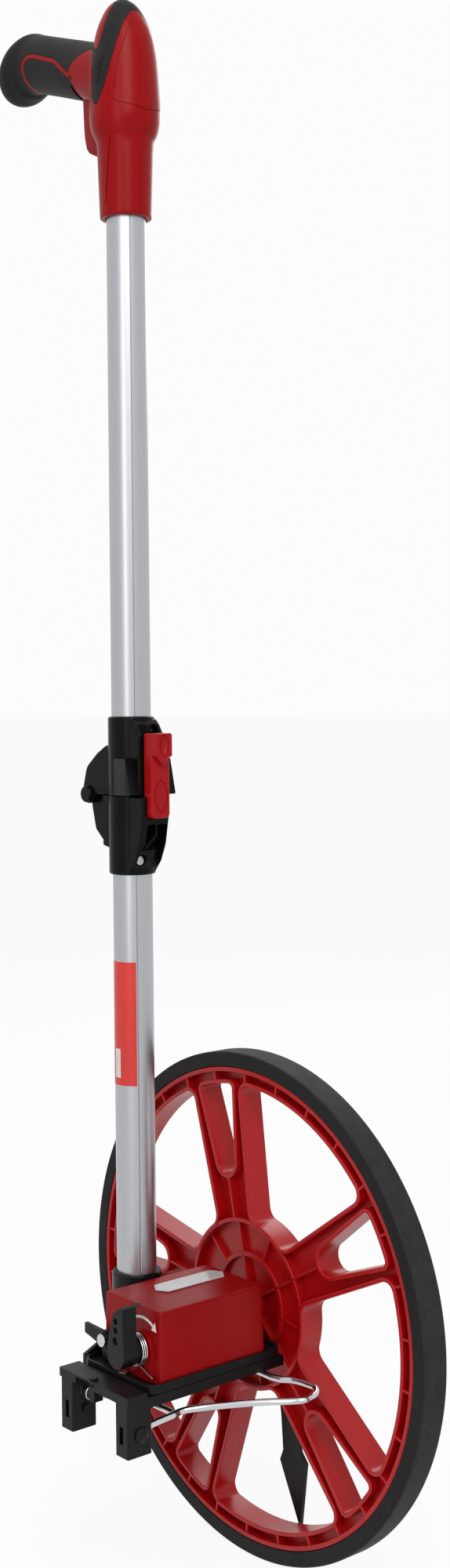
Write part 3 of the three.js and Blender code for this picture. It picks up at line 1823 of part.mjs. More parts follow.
// Side views, as shares of the head's radius from the pole's axis and down from the head's top
const sideView = (shares) =>
  shares.map(([out, down]) => at(poleX + out * headRadius, headTop - down * headRadius));
const sleeveOutline = sideView([
  [-7, -3],
  [0.4, -3],
  [0.42, 0.1],
  [0.52, 0.37],
  [0.58, 0.72],
  [0.58, 1.17],
  [0.52, 1.67],
  [0.4, 2.27],
  [0.29, 2.7],
  [0.06, 3.13],
  [-0.07, 3.14],
  [-0.24, 2.95],
  [-0.36, 2.29],
  [-0.41, 1.6],
  [-0.6, 1.4],
  [-0.75, 1.29],
  [-1.18, 1.35],
  [-1.46, 1.47],
  [-1.78, 1.74],
  [-1.68, 2.1],
  [-1.66, 2.45],
  [-1.82, 2.85],
  [-2.3, 3.2],
  [-7, 3.5],
]);
const lensInlay = sideView([
  [-0.04, 1.54],
  [0.03, 1.29],
  [0.09, 1.02],
  [0.08, 0.48],
  [0.1, 0.2],
  [0, 0.16],
  [-0.2, 0.2],
  [-0.38, 0.34],
  [-0.5, 0.5],
  [-0.55, 0.75],
  [-0.5, 1.15],
  [-0.21, 1.51],
]);
const inlayLine = sideView([
  [-1.6, 1.9],
  [-2.45, 1.12],
  [-3.67, 0.58],
  [-4.09, 0.63],
  [-4.32, 0.97],
  [-4.36, 1.75],
]);
const lineSide = (way) =>
  inlayLine.map((point, i) => {
    const before = inlayLine[Math.max(0, i - 1)];
    const after = inlayLine[Math.min(inlayLine.length - 1, i + 1)];
    const along = after.clone().sub(before).normalize();
    return point.clone().addScaledVector(at(-along.y, along.x), (way * inlayWidth) / 2);
  });
const lineInlay = [...lineSide(1), ...lineSide(-1).reverse()];
const webOutline = sideView([
  [-1.83, 2.06],
  [-1.77, 3.36],
  [-1.74, 3.77],
  [-1.65, 4.13],
  [-1.52, 4.3],
  [-1.08, 4.51],
  [0, 4.51],
  [0, 2],
]);
const handleWide = headRadius + overrun * 2;
const throughHandle = (outline) => prism(outline, "y", poleY - handleWide, poleY + handleWide);
const inlays = (grow) => [lensInlay, lineInlay].map((outline) => throughHandle(grown(outline, grow)));
const web = (grow) => {
  const half = webHalf + grow;
  return prism(grown(webOutline, grow), "y", poleY - half, poleY + half);
};

// Front cover: an egg-shaped shell on the head's +X side, as shares across and down from the head's top
const eggShares = [
  [0, 0.74],
  [0.28, 0.86],
  [0.47, 1.25],
  [0.67, 1.86],
  [0.77, 2.4],
  [0.85, 3.1],
  [0.74, 3.2],
  [0, 3.36],
];
const eggOutline = [
  ...eggShares,
  ...eggShares
    .slice(1, -1)
    .reverse()
    .map(([side, down]) => [-side, down]),
].map(([side, down]) => at(poleY + side * headRadius, headTop - down * headRadius));
const egg = (grow) => prism(grown(eggOutline, grow), "x", poleX + overrun, poleX + handleWide);

const skin = handleBody(0);
const tubeSocket = rod("z", poleX, poleY, tubeRadius + gap, neckBottom - overrun, upperTubeTo + gap);
piece(
  "handle_core",
  cut(
    join(
      handleBody(-sleeveThickness - gap),
      cut(skin, throughHandle(grown(sleeveOutline, gap))),
      skin.intersect(join(...inlays(0))),
      web(0),
    ),
    cut(egg(gap), loft(headRings(-coverThickness))),
    tubeSocket,
  ),
  redPlastic,
);
piece(
  "handle_cover",
  cut(loft(headRings(coverRaise)).intersect(egg(0)), loft(headRings(gap - coverThickness))),
  redPlastic,
);

// The line inlay runs round under the grip and parts its lower pad from the sleeve
const softParts = cut(
  skin.intersect(throughHandle(sleeveOutline)),
  handleBody(-sleeveThickness),
  ...inlays(gap),
  web(gap),
);
const [sleeve, pad] = softParts.decompose().sort((a, b) => b.volume() - a.volume());
piece("handle_sleeve", sleeve, softBlack);
piece("grip_pad", pad, softBlack);

// The part's origin is the flat outer end of the axle
model.position.y = -axleFarEnd;

export default model;
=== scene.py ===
import json
import math

import bmesh
import bpy
from mathutils import Matrix, Vector

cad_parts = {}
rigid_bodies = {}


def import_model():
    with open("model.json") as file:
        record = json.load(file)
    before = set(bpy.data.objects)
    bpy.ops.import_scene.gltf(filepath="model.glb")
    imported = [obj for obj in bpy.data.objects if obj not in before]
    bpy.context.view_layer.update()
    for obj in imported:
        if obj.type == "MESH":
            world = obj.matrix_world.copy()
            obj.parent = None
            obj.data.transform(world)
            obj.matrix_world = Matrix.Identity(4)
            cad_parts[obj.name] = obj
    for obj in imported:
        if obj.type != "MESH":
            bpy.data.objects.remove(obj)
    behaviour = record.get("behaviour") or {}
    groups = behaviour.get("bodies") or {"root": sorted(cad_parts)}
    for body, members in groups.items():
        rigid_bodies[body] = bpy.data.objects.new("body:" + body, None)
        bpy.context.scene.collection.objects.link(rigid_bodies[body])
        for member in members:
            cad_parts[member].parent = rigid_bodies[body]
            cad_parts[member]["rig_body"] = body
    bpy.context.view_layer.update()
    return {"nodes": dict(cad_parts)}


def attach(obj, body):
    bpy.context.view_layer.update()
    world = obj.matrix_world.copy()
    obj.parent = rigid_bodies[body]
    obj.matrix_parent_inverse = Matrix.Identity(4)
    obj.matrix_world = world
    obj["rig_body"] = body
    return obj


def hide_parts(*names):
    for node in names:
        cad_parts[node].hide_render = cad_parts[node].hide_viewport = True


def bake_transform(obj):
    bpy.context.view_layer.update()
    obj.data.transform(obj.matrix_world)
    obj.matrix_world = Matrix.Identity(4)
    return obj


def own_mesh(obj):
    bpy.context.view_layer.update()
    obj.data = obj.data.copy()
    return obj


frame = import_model()

# Measuring wheel. Lengths below are millimetres from the wheel's centre, as on its drawing;
# shown() carries them to the part's frame, whose origin is the flat outer end of the axle.
MM = 0.001
AXLE_END = 26.0
TURN = 2 * math.pi
QUARTER = math.pi / 2
GAP = 0.3
ROUND_STEPS = 96
CURVE_STEPS = 6
TYRE_STEPS = 240
PIN_STEPS = 48

# Wheel
TYRE_RADIUS = 159.15
TYRE_SEAT = 149.7
TYRE_WIDTH = 19.0
TYRE_CORNERS = [0.5, 1.7, 1.7, 0.5]
RIM_RADIUS = TYRE_SEAT - GAP
RIM_WALL = 3.0
WHEEL_WIDTH = 18.4
WALL_WIDTH = 17.8
WALL = 2.6
WEB = 3.0
WINDOW_RADIUS = 138.6
WINDOW_CORNER = 6.5
WINDOW_HUB_CORNER = 8.0
SPOKES = 5
SPOKE_TURN = math.radians(-11.5)
SPOKE_HALF_AT_HUB = 17.3
SPOKE_HALF_AT_RIM = 24.6
DROP_TIP = 80.7
DROP_TIP_HALF = 8.6
DROP_END_HALF = 16.0
DROP_END_CORNER = 3.2
RIM_RIBS = 30
RIM_RIB_WIDTH = 17.0
RIB = 1.6
HUB_RADIUS = 54.0
HUB_WALL = 3.2
HUB_LEDGE = 0.6
HUB_WIDTH = 16.6
HUB_RING = 31.7
HUB_RING_WIDTH = 10.0
HUB_RIBS = 10
BOSS_RADIUS = 11.0
BOSS_WIDTH = 19.8
WINDOW_HUB_STEPS, WINDOW_CORNER_STEPS, WINDOW_RIM_STEPS = 10, 8, 16
DROP_TIP_STEPS, DROP_CORNER_STEPS, DROP_RIM_STEPS = 12, 6, 4
RIM_WEB_STEPS = 180
HUB_STEPS = 120
BOSS_STEPS = 64
AXLE_RADIUS = 4.0
WEB_EDGE = 0.3
RIM_EDGE = 0.6
HUB_EDGE = 0.5
WALL_EDGE = 0.7

# Pole
POLE_X = -38.0
POLE_Y = -66.0
TUBE_RADIUS = 12.5
TUBE_WALL = 1.2
TUBE_STOP = 4.7
HINGE_Z = 325.4

# Stand
STAND_MIDDLE = 1.3
STAND_Y = -118.8
STAND_Z = -44.1
STAND_SPREAD = 28.4
STAND_LENGTH = 97.8
STAND_RISE = 11.5
STAND_EAR = 79.0
WIRE_RADIUS = 2.0

# Counter
COUNT_X = -1.5
COUNT_Z = 12.2
DRUM_RADIUS = 6.9
DRUM_WIDTH = 8.8
DRUM_PITCH = 9.4
DRUM_FIRST = -71.4

# Shaping tools

DOUBLE = 1e-4
CAD_DOUBLE = 2e-6
CAD_FLAT = math.radians(0.6)
CORNER_ROOM = 0.48
NO_CORNER = 0.01
EDGE_ANGLE = 32
PIECE_SHARP = 38
DRESSED_SHARP = 40
CORNER_STEPS = 5
SMALL_CORNER_STEPS = 3
AXES = {
    "x": Matrix(((0, 0, 1, 0), (1, 0, 0, 0), (0, 1, 0, 0), (0, 0, 0, 1))),
    "y": Matrix(((1, 0, 0, 0), (0, 0, -1, 0), (0, 1, 0, 0), (0, 0, 0, 1))),
    "z": Matrix.Identity(4),
}


def arc(u, v, radius, start, end, steps):
    angles = [start + (end - start) * i / steps for i in range(steps + 1)]
    return [(u + radius * math.cos(a), v + radius * math.sin(a)) for a in angles]


def circle(radius, u=0.0, v=0.0, steps=ROUND_STEPS):
    return arc(u, v, radius, 0, TURN, steps)[1:]


def rounded(points, radius, steps):
    """An outline's corners rounded by one radius, or by one for each corner."""
    made = []
    for i, corner in enumerate(points):
        corner = Vector(corner)
        a = Vector(points[i - 1]) - corner
        b = Vector(points[(i + 1) % len(points)]) - corner
        wanted = radius[i] if isinstance(radius, (list, tuple)) else radius
        room = CORNER_ROOM * min(a.length, b.length)
        half = a.angle(b) / 2
        along = min(wanted / math.tan(half), room) if half > NO_CORNER else 0
        if along <= 0:
            made.append(tuple(corner))
            continue
        start, end = corner + a.normalized() * along, corner + b.normalized() * along
        for k in range(steps + 1):
            t = k / steps
            made.append(tuple(start * (1 - t) ** 2 + corner * 2 * t * (1 - t) + end * t * t))
    return made


def smoothed(points, steps):
    """Points of a smooth curve through all the given ones."""
    points = [Vector(p) for p in points]
    made = []
    for p0, p1, p2, p3 in zip(points[:1] + points, points, points[1:], points[2:] + points[-1:]):
        for k in range(steps):
            t = k / steps
            made.append(0.5 * (2 * p1 + (p2 - p0) * t + (2 * p0 - 5 * p1 + 4 * p2 - p3) * t**2
                               + (3 * p1 - p0 - 3 * p2 + p3) * t**3))
    return made + points[-1:]


def beside(line, half):
    """The outline of a band along a line."""
    sides = ([], [])
    for i, point in enumerate(line):
        along = (line[min(i + 1, len(line) - 1)] - line[max(i - 1, 0)]).normalized()
        for way, side in zip((1, -1), sides):
            side.append(tuple(point + Vector((-along.y, along.x)) * way * half))
    return sides[0] + sides[1][::-1]


def mesh_from(points, edges, faces):
    mesh = bpy.data.meshes.new("drawn")
    mesh.from_pydata(points, edges, faces)
    return mesh


def linked(name, data):
    made = bpy.data.objects.new(name, data)
    bpy.context.scene.collection.objects.link(made)
    return made


def evaluated(obj):
    """The object's final mesh, modifiers included; the object itself is removed."""
    bpy.context.view_layer.update()
    graph = bpy.context.evaluated_depsgraph_get()
    mesh = bpy.data.meshes.new_from_object(obj.evaluated_get(graph), depsgraph=graph)
    bpy.data.objects.remove(obj)
    return mesh


def cleaned(mesh, turn_out=True):
    """A drawn mesh with its double points merged, and its faces turned outwards."""
    shape = bmesh.new()
    shape.from_mesh(mesh)
    bmesh.ops.remove_doubles(shape, verts=shape.verts, dist=DOUBLE)
    if turn_out:
        bmesh.ops.recalc_face_normals(shape, faces=shape.faces)
    shape.to_mesh(mesh)
    shape.free()
    return mesh


def plate(outlines, axis, start, end, edge=0.0, rounds=2):
    """Outlines, holes among them, run from start to end along an axis, with rounded edges."""
    curve = bpy.data.curves.new("outline", "CURVE")
    curve.dimensions = "2D"
    curve.fill_mode = "BOTH"
    for outline in outlines:
        spline = curve.splines.new("POLY")
        spline.points.add(len(outline) - 1)
        for point, (u, v) in zip(spline.points, outline):
            point.co = (u, v, 0, 1)
        spline.use_cyclic_u = True
    curve.extrude = (end - start) / 2 - edge
    curve.bevel_depth = edge
    curve.bevel_resolution = rounds
    curve.offset = -edge
    mesh = evaluated(linked("outline", curve))
    middle = on_axis(axis, 0, 0, 0, 0, (start + end) / 2)
    mesh.transform(Matrix.Translation(middle) @ AXES[axis])
    return cleaned(mesh)


def on_axis(axis, u, v, radius, angle, along):
    a, b = u + radius * math.cos(angle), v + radius * math.sin(angle)
    return {"x": (along, a, b), "y": (a, along, b), "z": (a, b, along)}[axis]


def lathe(profile, axis, sides, u=0.0, v=0.0, closed=True):
    """A profile of (radius, place along the axis) turned round the axis through (u, v)."""
    count = len(profile)
    points = [
        on_axis(axis, u, v, radius, TURN * k / sides, along)
        for k in range(sides)
        for radius, along in profile
    ]
    faces = []
    for k in range(sides):
        near, far = k * count, (k + 1) % sides * count
        for i in range(count if closed else count - 1):
            j = (i + 1) % count
            faces.append((near + i, near + j, far + j, far + i))
    return cleaned(mesh_from(points, [], faces))


def skin(rings):
    """A closed skin over rings of equally many points, with a fan at each end."""
    count = len(rings[0])
    points = [Vector(p) for ring in rings for p in ring]
    faces = []
    for r in range(len(rings) - 1):
        low, high = r * count, (r + 1) * count
        for k in range(count):
            n = (k + 1) % count
            faces.append((low + k, low + n, high + n, high + k))
    for ring, base in ((rings[0], 0), (rings[-1], (len(rings) - 1) * count)):
        middle = len(points)
        points.append(sum((Vector(p) for p in ring), Vector()) / count)
        faces += [(base + k, base + (k + 1) % count, middle) for k in range(count)]
    return cleaned(mesh_from(points, [], faces))


def mesh_of(shape):
    made = bpy.data.meshes.new("made")
    shape.to_mesh(made)
    shape.free()
    return made


def joined(meshes):
    shape = bmesh.new()
    for mesh in meshes:
        shape.from_mesh(mesh)
    return mesh_of(shape)


def cut_with(base, tool, operation="DIFFERENCE"):
    """A mesh cut, joined or shared with another, as a new mesh."""
    a, b = linked("base", base), linked("tool", tool)
    modifier = a.modifiers.new("cut", "BOOLEAN")
    modifier.operation = operation
    modifier.solver = "EXACT"
    modifier.object = b
    mesh = evaluated(a)
    bpy.data.objects.remove(b)
    return mesh


def finished(name, mesh, material, body, replaces=(), sharp=PIECE_SHARP, weighted=True):
    """A mesh in the part's frame as a finished piece that rides on a body, if one is given."""
    mesh.materials.clear()
    mesh.materials.append(material)
    for face in mesh.polygons:
        face.use_smooth = True
        face.material_index = 0
    mesh.set_sharp_from_angle(angle=math.radians(sharp))
    made = linked(name, mesh)
    if weighted:
        modifier = made.modifiers.new("even normals", "WEIGHTED_NORMAL")
        modifier.keep_sharp = True
        mesh = evaluated(made)
        made = linked(name, mesh)
    mesh.name = name
    if replaces:
        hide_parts(*replaces)
    if body:
        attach(made, body)
    return made


def shown(name, mesh, *rest, **options):
    """A drawing in millimetres, carried to the part's frame in metres and finished there."""
    mesh.transform(Matrix.Scale(MM, 4) @ Matrix.Translation((0, -AXLE_END, 0)))
    return finished(name, mesh, *rest, **options)


def dressed(node, material, edge, rounds):
    """A CAD node's own form with its edges rounded, standing for that node."""
    shape = bmesh.new()
    shape.from_mesh(frame["nodes"][node].data)
    bmesh.ops.remove_doubles(shape, verts=shape.verts, dist=CAD_DOUBLE)
    bmesh.ops.dissolve_limit(shape, angle_limit=CAD_FLAT, verts=shape.verts, edges=shape.edges)
    holder = linked("holder", mesh_of(shape))
    modifier = holder.modifiers.new("edges", "BEVEL")
    modifier.width = edge * MM
    modifier.segments = rounds
    modifier.limit_method = "ANGLE"
    modifier.angle_limit = math.radians(EDGE_ANGLE)
    modifier.use_clamp_overlap = True
    modifier.harden_normals = False
    body = frame["nodes"][node]["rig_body"]
    finished(node + "_finished", evaluated(holder), material, body, [node], DRESSED_SHARP)


# Node trees: tools for both kinds, and two Geometry Nodes trees that repeat a form or follow a path


def link_all(tree, *pairs):
    """Each output linked to the input beside it."""
    for leaving, arriving in pairs:
        tree.links.new(leaving, arriving)


def fed(tree, socket, value):
    """A node's input set to a plain value or linked to another node's output."""
    if isinstance(value, (int, float, tuple)):
        socket.default_value = value
    else:
        tree.links.new(value, socket)


def maths(tree, operation, a, b=None, clamp=False):
    made = tree.nodes.new("ShaderNodeMath")
    made.operation = operation
    made.use_clamp = clamp
    fed(tree, made.inputs[0], a)
    if b is not None:
        fed(tree, made.inputs[1], b)
    return made.outputs[0]


def plus(tree, a, b):
    return maths(tree, "ADD", a, b)


def minus(tree, a, b):
    return maths(tree, "SUBTRACT", a, b)


def times(tree, a, b):
    return maths(tree, "MULTIPLY", a, b)


def form_tree(name, inputs, steps):
    """A tree with named inputs; every one ends in Realize Instances and Set Material."""
    tree = bpy.data.node_groups.new(name, "GeometryNodeTree")
    for label, kind, value in inputs + [("Material", "NodeSocketMaterial", None)]:
        socket = tree.interface.new_socket(label, in_out="INPUT", socket_type=kind)
        if value is not None:
            socket.default_value = value
    tree.interface.new_socket("Form", in_out="OUTPUT", socket_type="NodeSocketGeometry")
    given = tree.nodes.new("NodeGroupInput").outputs
    realize = tree.nodes.new("GeometryNodeRealizeInstances")
    paint = tree.nodes.new("GeometryNodeSetMaterial")
    leave = tree.nodes.new("NodeGroupOutput")
    link_all(
        tree,
        (steps(tree, given), realize.inputs[0]),
        (realize.outputs[0], paint.inputs["Geometry"]),
        (given["Material"], paint.inputs["Material"]),
        (paint.outputs[0], leave.inputs[0]),
    )
    return tree


def round_axis_steps(tree, given):
    """A form repeated round an axis through a centre."""
    spots = tree.nodes.new("GeometryNodePoints")
    index = tree.nodes.new("GeometryNodeInputIndex")
    about = tree.nodes.new("FunctionNodeAxisAngleToRotation")
    place = tree.nodes.new("GeometryNodeInstanceOnPoints")
    share = maths(tree, "DIVIDE", index.outputs[0], given["Count"])
    link_all(
        tree,
        (given["Count"], spots.inputs["Count"]),
        (given["Centre"], spots.inputs["Position"]),
        (given["Axis"], about.inputs["Axis"]),
        (times(tree, share, TURN), about.inputs["Angle"]),
        (spots.outputs[0], place.inputs["Points"]),
        (given["Form"], place.inputs["Instance"]),
        (about.outputs[0], place.inputs["Rotation"]),
    )
    return place.outputs[0]


def wire_steps(tree, given):
    """A round wire along a path of edges."""
    path = tree.nodes.new("GeometryNodeMeshToCurve")
    round_profile = tree.nodes.new("GeometryNodeCurvePrimitiveCircle")
    sweep = tree.nodes.new("GeometryNodeCurveToMesh")
    sweep.inputs["Fill Caps"].default_value = True
    link_all(
        tree,
        (given["Path"], path.inputs[0]),
        (given["Sides"], round_profile.inputs["Resolution"]),
        (given["Radius"], round_profile.inputs["Radius"]),
        (path.outputs[0], sweep.inputs["Curve"]),
        (round_profile.outputs[0], sweep.inputs["Profile Curve"]),
    )
    return sweep.outputs[0]


ROUND = form_tree("Repeat Round Axis", [
    ("Form", "NodeSocketGeometry", None),
    ("Count", "NodeSocketInt", 12),
    ("Axis", "NodeSocketVector", (0, 1, 0)),
    ("Centre", "NodeSocketVector", (0, 0, 0)),
], round_axis_steps)
WIRE = form_tree("Wire Along Path", [
    ("Path", "NodeSocketGeometry", None),
    ("Radius", "NodeSocketFloat", 1.0),
    ("Sides", "NodeSocketInt", 12),
], wire_steps)


def grown_by(tree, mesh, values):
    """A mesh run through a Geometry Nodes tree with the given inputs, as a plain mesh."""
    holder = linked("holder", mesh)
    modifier = holder.modifiers.new("form", "NODES")
    modifier.node_group = tree
    for item in tree.interface.items_tree:
        if item.in_out == "INPUT" and item.name in values:
            modifier[item.identifier] = values[item.name]
    return evaluated(holder)


def wire(points, radius, sides, material):
    mesh = mesh_from([Vector(p) for p in points], [(i, i + 1) for i in range(len(points) - 1)], [])
    return cleaned(grown_by(WIRE, mesh, {"Radius": radius, "Sides": sides, "Material": material}))


def round_axis(mesh, count, material):
    return grown_by(ROUND, mesh, {"Count": count, "Axis": (0, 1, 0), "Material": material})


# Finishes: shared effects in groups, then one row of numbers for each finish

DIMPLE_ROW_SHARE = 0.965
DIMPLE_ROWS_REACH = 0.6
DIMPLE_DEPTH = 4.0
# Where each noise begins to show and where it shows fully
PATCH_RUN = (0.35, 0.68)
SPECK_RUN = (0.45, 0.75)
RUB_RUN = (0.5, 0.72)
HAZE_RUN = (0.4, 0.7)
# How much each noise adds
PATCH_SHARE = 0.7
SPECK_SHARE = 0.3
RUB_SHARE = 0.6
FLOW_SHARE = 0.4
HAZE_SHARE = 0.3
SPECK_SCALE = 900.0
FLOW_SCALE = 120.0
HAZE_SCALE = 30.0
SKIN_DEPTH = 0.00005
# Clear share of the lens; the rest is near-white colour, a painted reflection
LENS_CLEAR = 0.6
LENS_BEND = 1.49
SOCKET_KINDS = {3: "NodeSocketVector", 4: "NodeSocketColor"}


def shader_group(name, inputs, outputs):
    """A group with named inputs at their usual values and named outputs of the given kinds."""
    group = bpy.data.node_groups.new(name, "ShaderNodeTree")
    for label, value in inputs.items():
        kind = SOCKET_KINDS[len(value)] if isinstance(value, tuple) else "NodeSocketFloat"
        group.interface.new_socket(label, in_out="INPUT", socket_type=kind).default_value = value
    for label, kind in outputs.items():
        group.interface.new_socket(label, in_out="OUTPUT", socket_type=kind)
    return group, group.nodes.new("NodeGroupInput").outputs, group.nodes.new("NodeGroupOutput").inputs


def noise(group, place, scale, detail=3.0, rough=0.5):
    made = group.nodes.new("ShaderNodeTexNoise")
    for label, value in (("Vector", place), ("Scale", scale), ("Detail", detail), ("Roughness", rough)):
        fed(group, made.inputs[label], value)
    return made.outputs["Fac"]


def between(group, value, low, high):
    """A value carried to 0 at low and 1 at high."""
    made = group.nodes.new("ShaderNodeMapRange")
    for label, given in (("Value", value), ("From Min", low), ("From Max", high)):
        fed(group, made.inputs[label], given)
    return made.outputs["Result"]


def mixed(group, factor, a, b):
    """Two colours mixed by a factor."""
    made = group.nodes.new("ShaderNodeMix")
    made.data_type = "RGBA"
    colours = [socket for socket in made.inputs if socket.type == "RGBA"]
    link_all(group, (factor, made.inputs["Factor"]), (a, colours[0]), (b, colours[1]))
    return [socket for socket in made.outputs if socket.type == "RGBA"][0]


def object_place(group):
    return group.nodes.new("ShaderNodeTexCoord").outputs["Object"]


def varied_roughness(group, given, leave, change):
    """The given roughness, changed by up to the given spread, as the group's output."""
    rough = times(group, change, given["Spread"])
    group.links.new(maths(group, "ADD", given["Roughness"], rough, clamp=True), leave["Roughness"])


def colour_drift_group():
    """Slow patches and fine specks that turn one colour towards another."""
    group, given, leave = shader_group("Colour Drift", {
        "Colour": (0.5, 0.5, 0.5, 1), "Drift Colour": (0.4, 0.4, 0.4, 1), "Patch Scale": 18.0,
        "Speck Scale": SPECK_SCALE, "Amount": 0.5,
    }, {"Colour": "NodeSocketColor"})
    place = object_place(group)
    patches = between(group, noise(group, place, given["Patch Scale"]), *PATCH_RUN)
    specks = between(group, noise(group, place, given["Speck Scale"], 1.0), *SPECK_RUN)
    both = plus(group, times(group, patches, PATCH_SHARE), times(group, specks, SPECK_SHARE))
    factor = maths(group, "MULTIPLY", both, given["Amount"], clamp=True)
    group.links.new(mixed(group, factor, given["Colour"], given["Drift Colour"]), leave["Colour"])
    return group


def moulded_grain_group():
    """Roughness and height of a moulded skin: fine grain, slow flow marks and light rubbing."""
    group, given, leave = shader_group("Moulded Grain", {
        "Roughness": 0.4, "Spread": 0.1, "Grain Scale": 1600.0, "Rub Scale": 45.0,
    }, {"Roughness": "NodeSocketFloat", "Height": "NodeSocketFloat"})
    place = object_place(group)
    grain = noise(group, place, given["Grain Scale"], 2.0)
    rub = between(group, noise(group, place, given["Rub Scale"], 6.0, 0.7), *RUB_RUN)
    rubbed = times(group, rub, RUB_SHARE)
    varied_roughness(group, given, leave, plus(group, minus(group, grain, 0.5), rubbed))
    flow = noise(group, place, FLOW_SCALE, 1.0)
    group.links.new(plus(group, grain, times(group, flow, FLOW_SHARE)), leave["Height"])
    return group


def drawn_lines_group():
    """Roughness and height of drawn or brushed metal: long fine lines along the part's Z."""
    group, given, leave = shader_group("Drawn Lines", {
        "Roughness": 0.3, "Spread": 0.15, "Line Scale": 1500.0, "Stretch": (1, 1, 0.01),
    }, {"Roughness": "NodeSocketFloat", "Height": "NodeSocketFloat"})
    stretched = group.nodes.new("ShaderNodeVectorMath")
    stretched.operation = "MULTIPLY"
    link_all(group, (object_place(group), stretched.inputs[0]), (given["Stretch"], stretched.inputs[1]))
    lines = noise(group, stretched.outputs[0], given["Line Scale"], 2.0, 0.6)
    haze = between(group, noise(group, object_place(group), HAZE_SCALE, 5.0), *HAZE_RUN)
    hazed = times(group, haze, HAZE_SHARE)
    varied_roughness(group, given, leave, plus(group, minus(group, lines, 0.5), hazed))
    group.links.new(lines, leave["Height"])
    return group


def length_of(group, a, b):
    return maths(group, "SQRT", plus(group, times(group, a, a), times(group, b, b)))


def tyre_marks_group():
    """Small dimples in two staggered rows on the tyre's side faces, and where its tread begins."""
    group, given, leave = shader_group("Tyre Marks", {
        "Dimples Round": 150.0, "Row Radius": 0.1534, "Row Pitch": 0.0042, "Dimple Radius": 0.0011,
        "Tread Radius": 0.1585,
    }, {"Dimple": "NodeSocketFloat", "Tread": "NodeSocketFloat"})
    parts = group.nodes.new("ShaderNodeSeparateXYZ")
    group.links.new(object_place(group), parts.inputs[0])
    x, z = parts.outputs["X"], parts.outputs["Z"]
    radius = length_of(group, x, z)
    turn = maths(group, "DIVIDE", maths(group, "ARCTAN2", z, x), TURN)
    steps = times(group, turn, given["Dimples Round"])
    out = maths(group, "DIVIDE", minus(group, radius, given["Row Radius"]), given["Row Pitch"])
    row = maths(group, "ROUND", out)
    shifted = plus(group, steps, times(group, row, 0.5))
    aside = minus(group, maths(group, "FRACT", shifted), 0.5)
    width = maths(group, "DIVIDE", TURN * TYRE_RADIUS * MM * DIMPLE_ROW_SHARE, given["Dimples Round"])
    over = times(group, minus(group, out, row), given["Row Pitch"])
    distance = length_of(group, times(group, aside, width), over)
    share = maths(group, "DIVIDE", distance, given["Dimple Radius"])
    inside = maths(group, "SUBTRACT", 1.0, share, clamp=True)
    rows = maths(group, "LESS_THAN", maths(group, "ABSOLUTE", row), DIMPLE_ROWS_REACH)
    group.links.new(times(group, inside, rows), leave["Dimple"])
    group.links.new(maths(group, "GREATER_THAN", radius, given["Tread Radius"]), leave["Tread"])
    return group


DRIFT = colour_drift_group()
GRAIN = moulded_grain_group()
LINES = drawn_lines_group()
TYRE_MARKS = tyre_marks_group()


def srgb(r, g, b):
    """A colour as it shows, 0 to 255, as the linear numbers that a shader takes."""
    def linear(c):
        c /= 255
        return c / 12.92 if c <= 0.04045 else ((c + 0.055) / 1.055) ** 2.4
    return (linear(r), linear(g), linear(b), 1.0)


def new_material(name):
    material = bpy.data.materials.new(name)
    material.use_nodes = True
    return material, material.node_tree, material.node_tree.nodes["Principled BSDF"]


def group_node(tree, group, *values):
    """A group in a material, with values for its inputs in their own order."""
    made = tree.nodes.new("ShaderNodeGroup")
    made.node_tree = group
    for socket, value in zip(made.inputs, values):
        socket.default_value = value
    return made.outputs


def finish_of(name, slot, colour, drift, amount, patch, skin_values, bump, plain,
              skin_group=GRAIN, speck=SPECK_SCALE, depth=SKIN_DEPTH):
    """A finish: drifting colour, a roughness that varies and a bump, all from its groups."""
    material, tree, shader = new_material(name)
    for label, value in plain.items():
        shader.inputs[label].default_value = value
    tint = group_node(tree, DRIFT, srgb(*colour), srgb(*drift), patch, speck, amount)
    surface = group_node(tree, skin_group, *skin_values)
    relief = tree.nodes.new("ShaderNodeBump")
    relief.inputs["Strength"].default_value = bump
    relief.inputs["Distance"].default_value = depth
    link_all(
        tree,
        (tint["Colour"], shader.inputs["Base Color"]),
        (surface["Roughness"], shader.inputs["Roughness"]),
        (surface["Height"], relief.inputs["Height"]),
        (relief.outputs["Normal"], shader.inputs["Normal"]),
    )
    return material


METAL = {"Metallic": 1.0}


def shine(level):
    return {"Specular IOR Level": level}


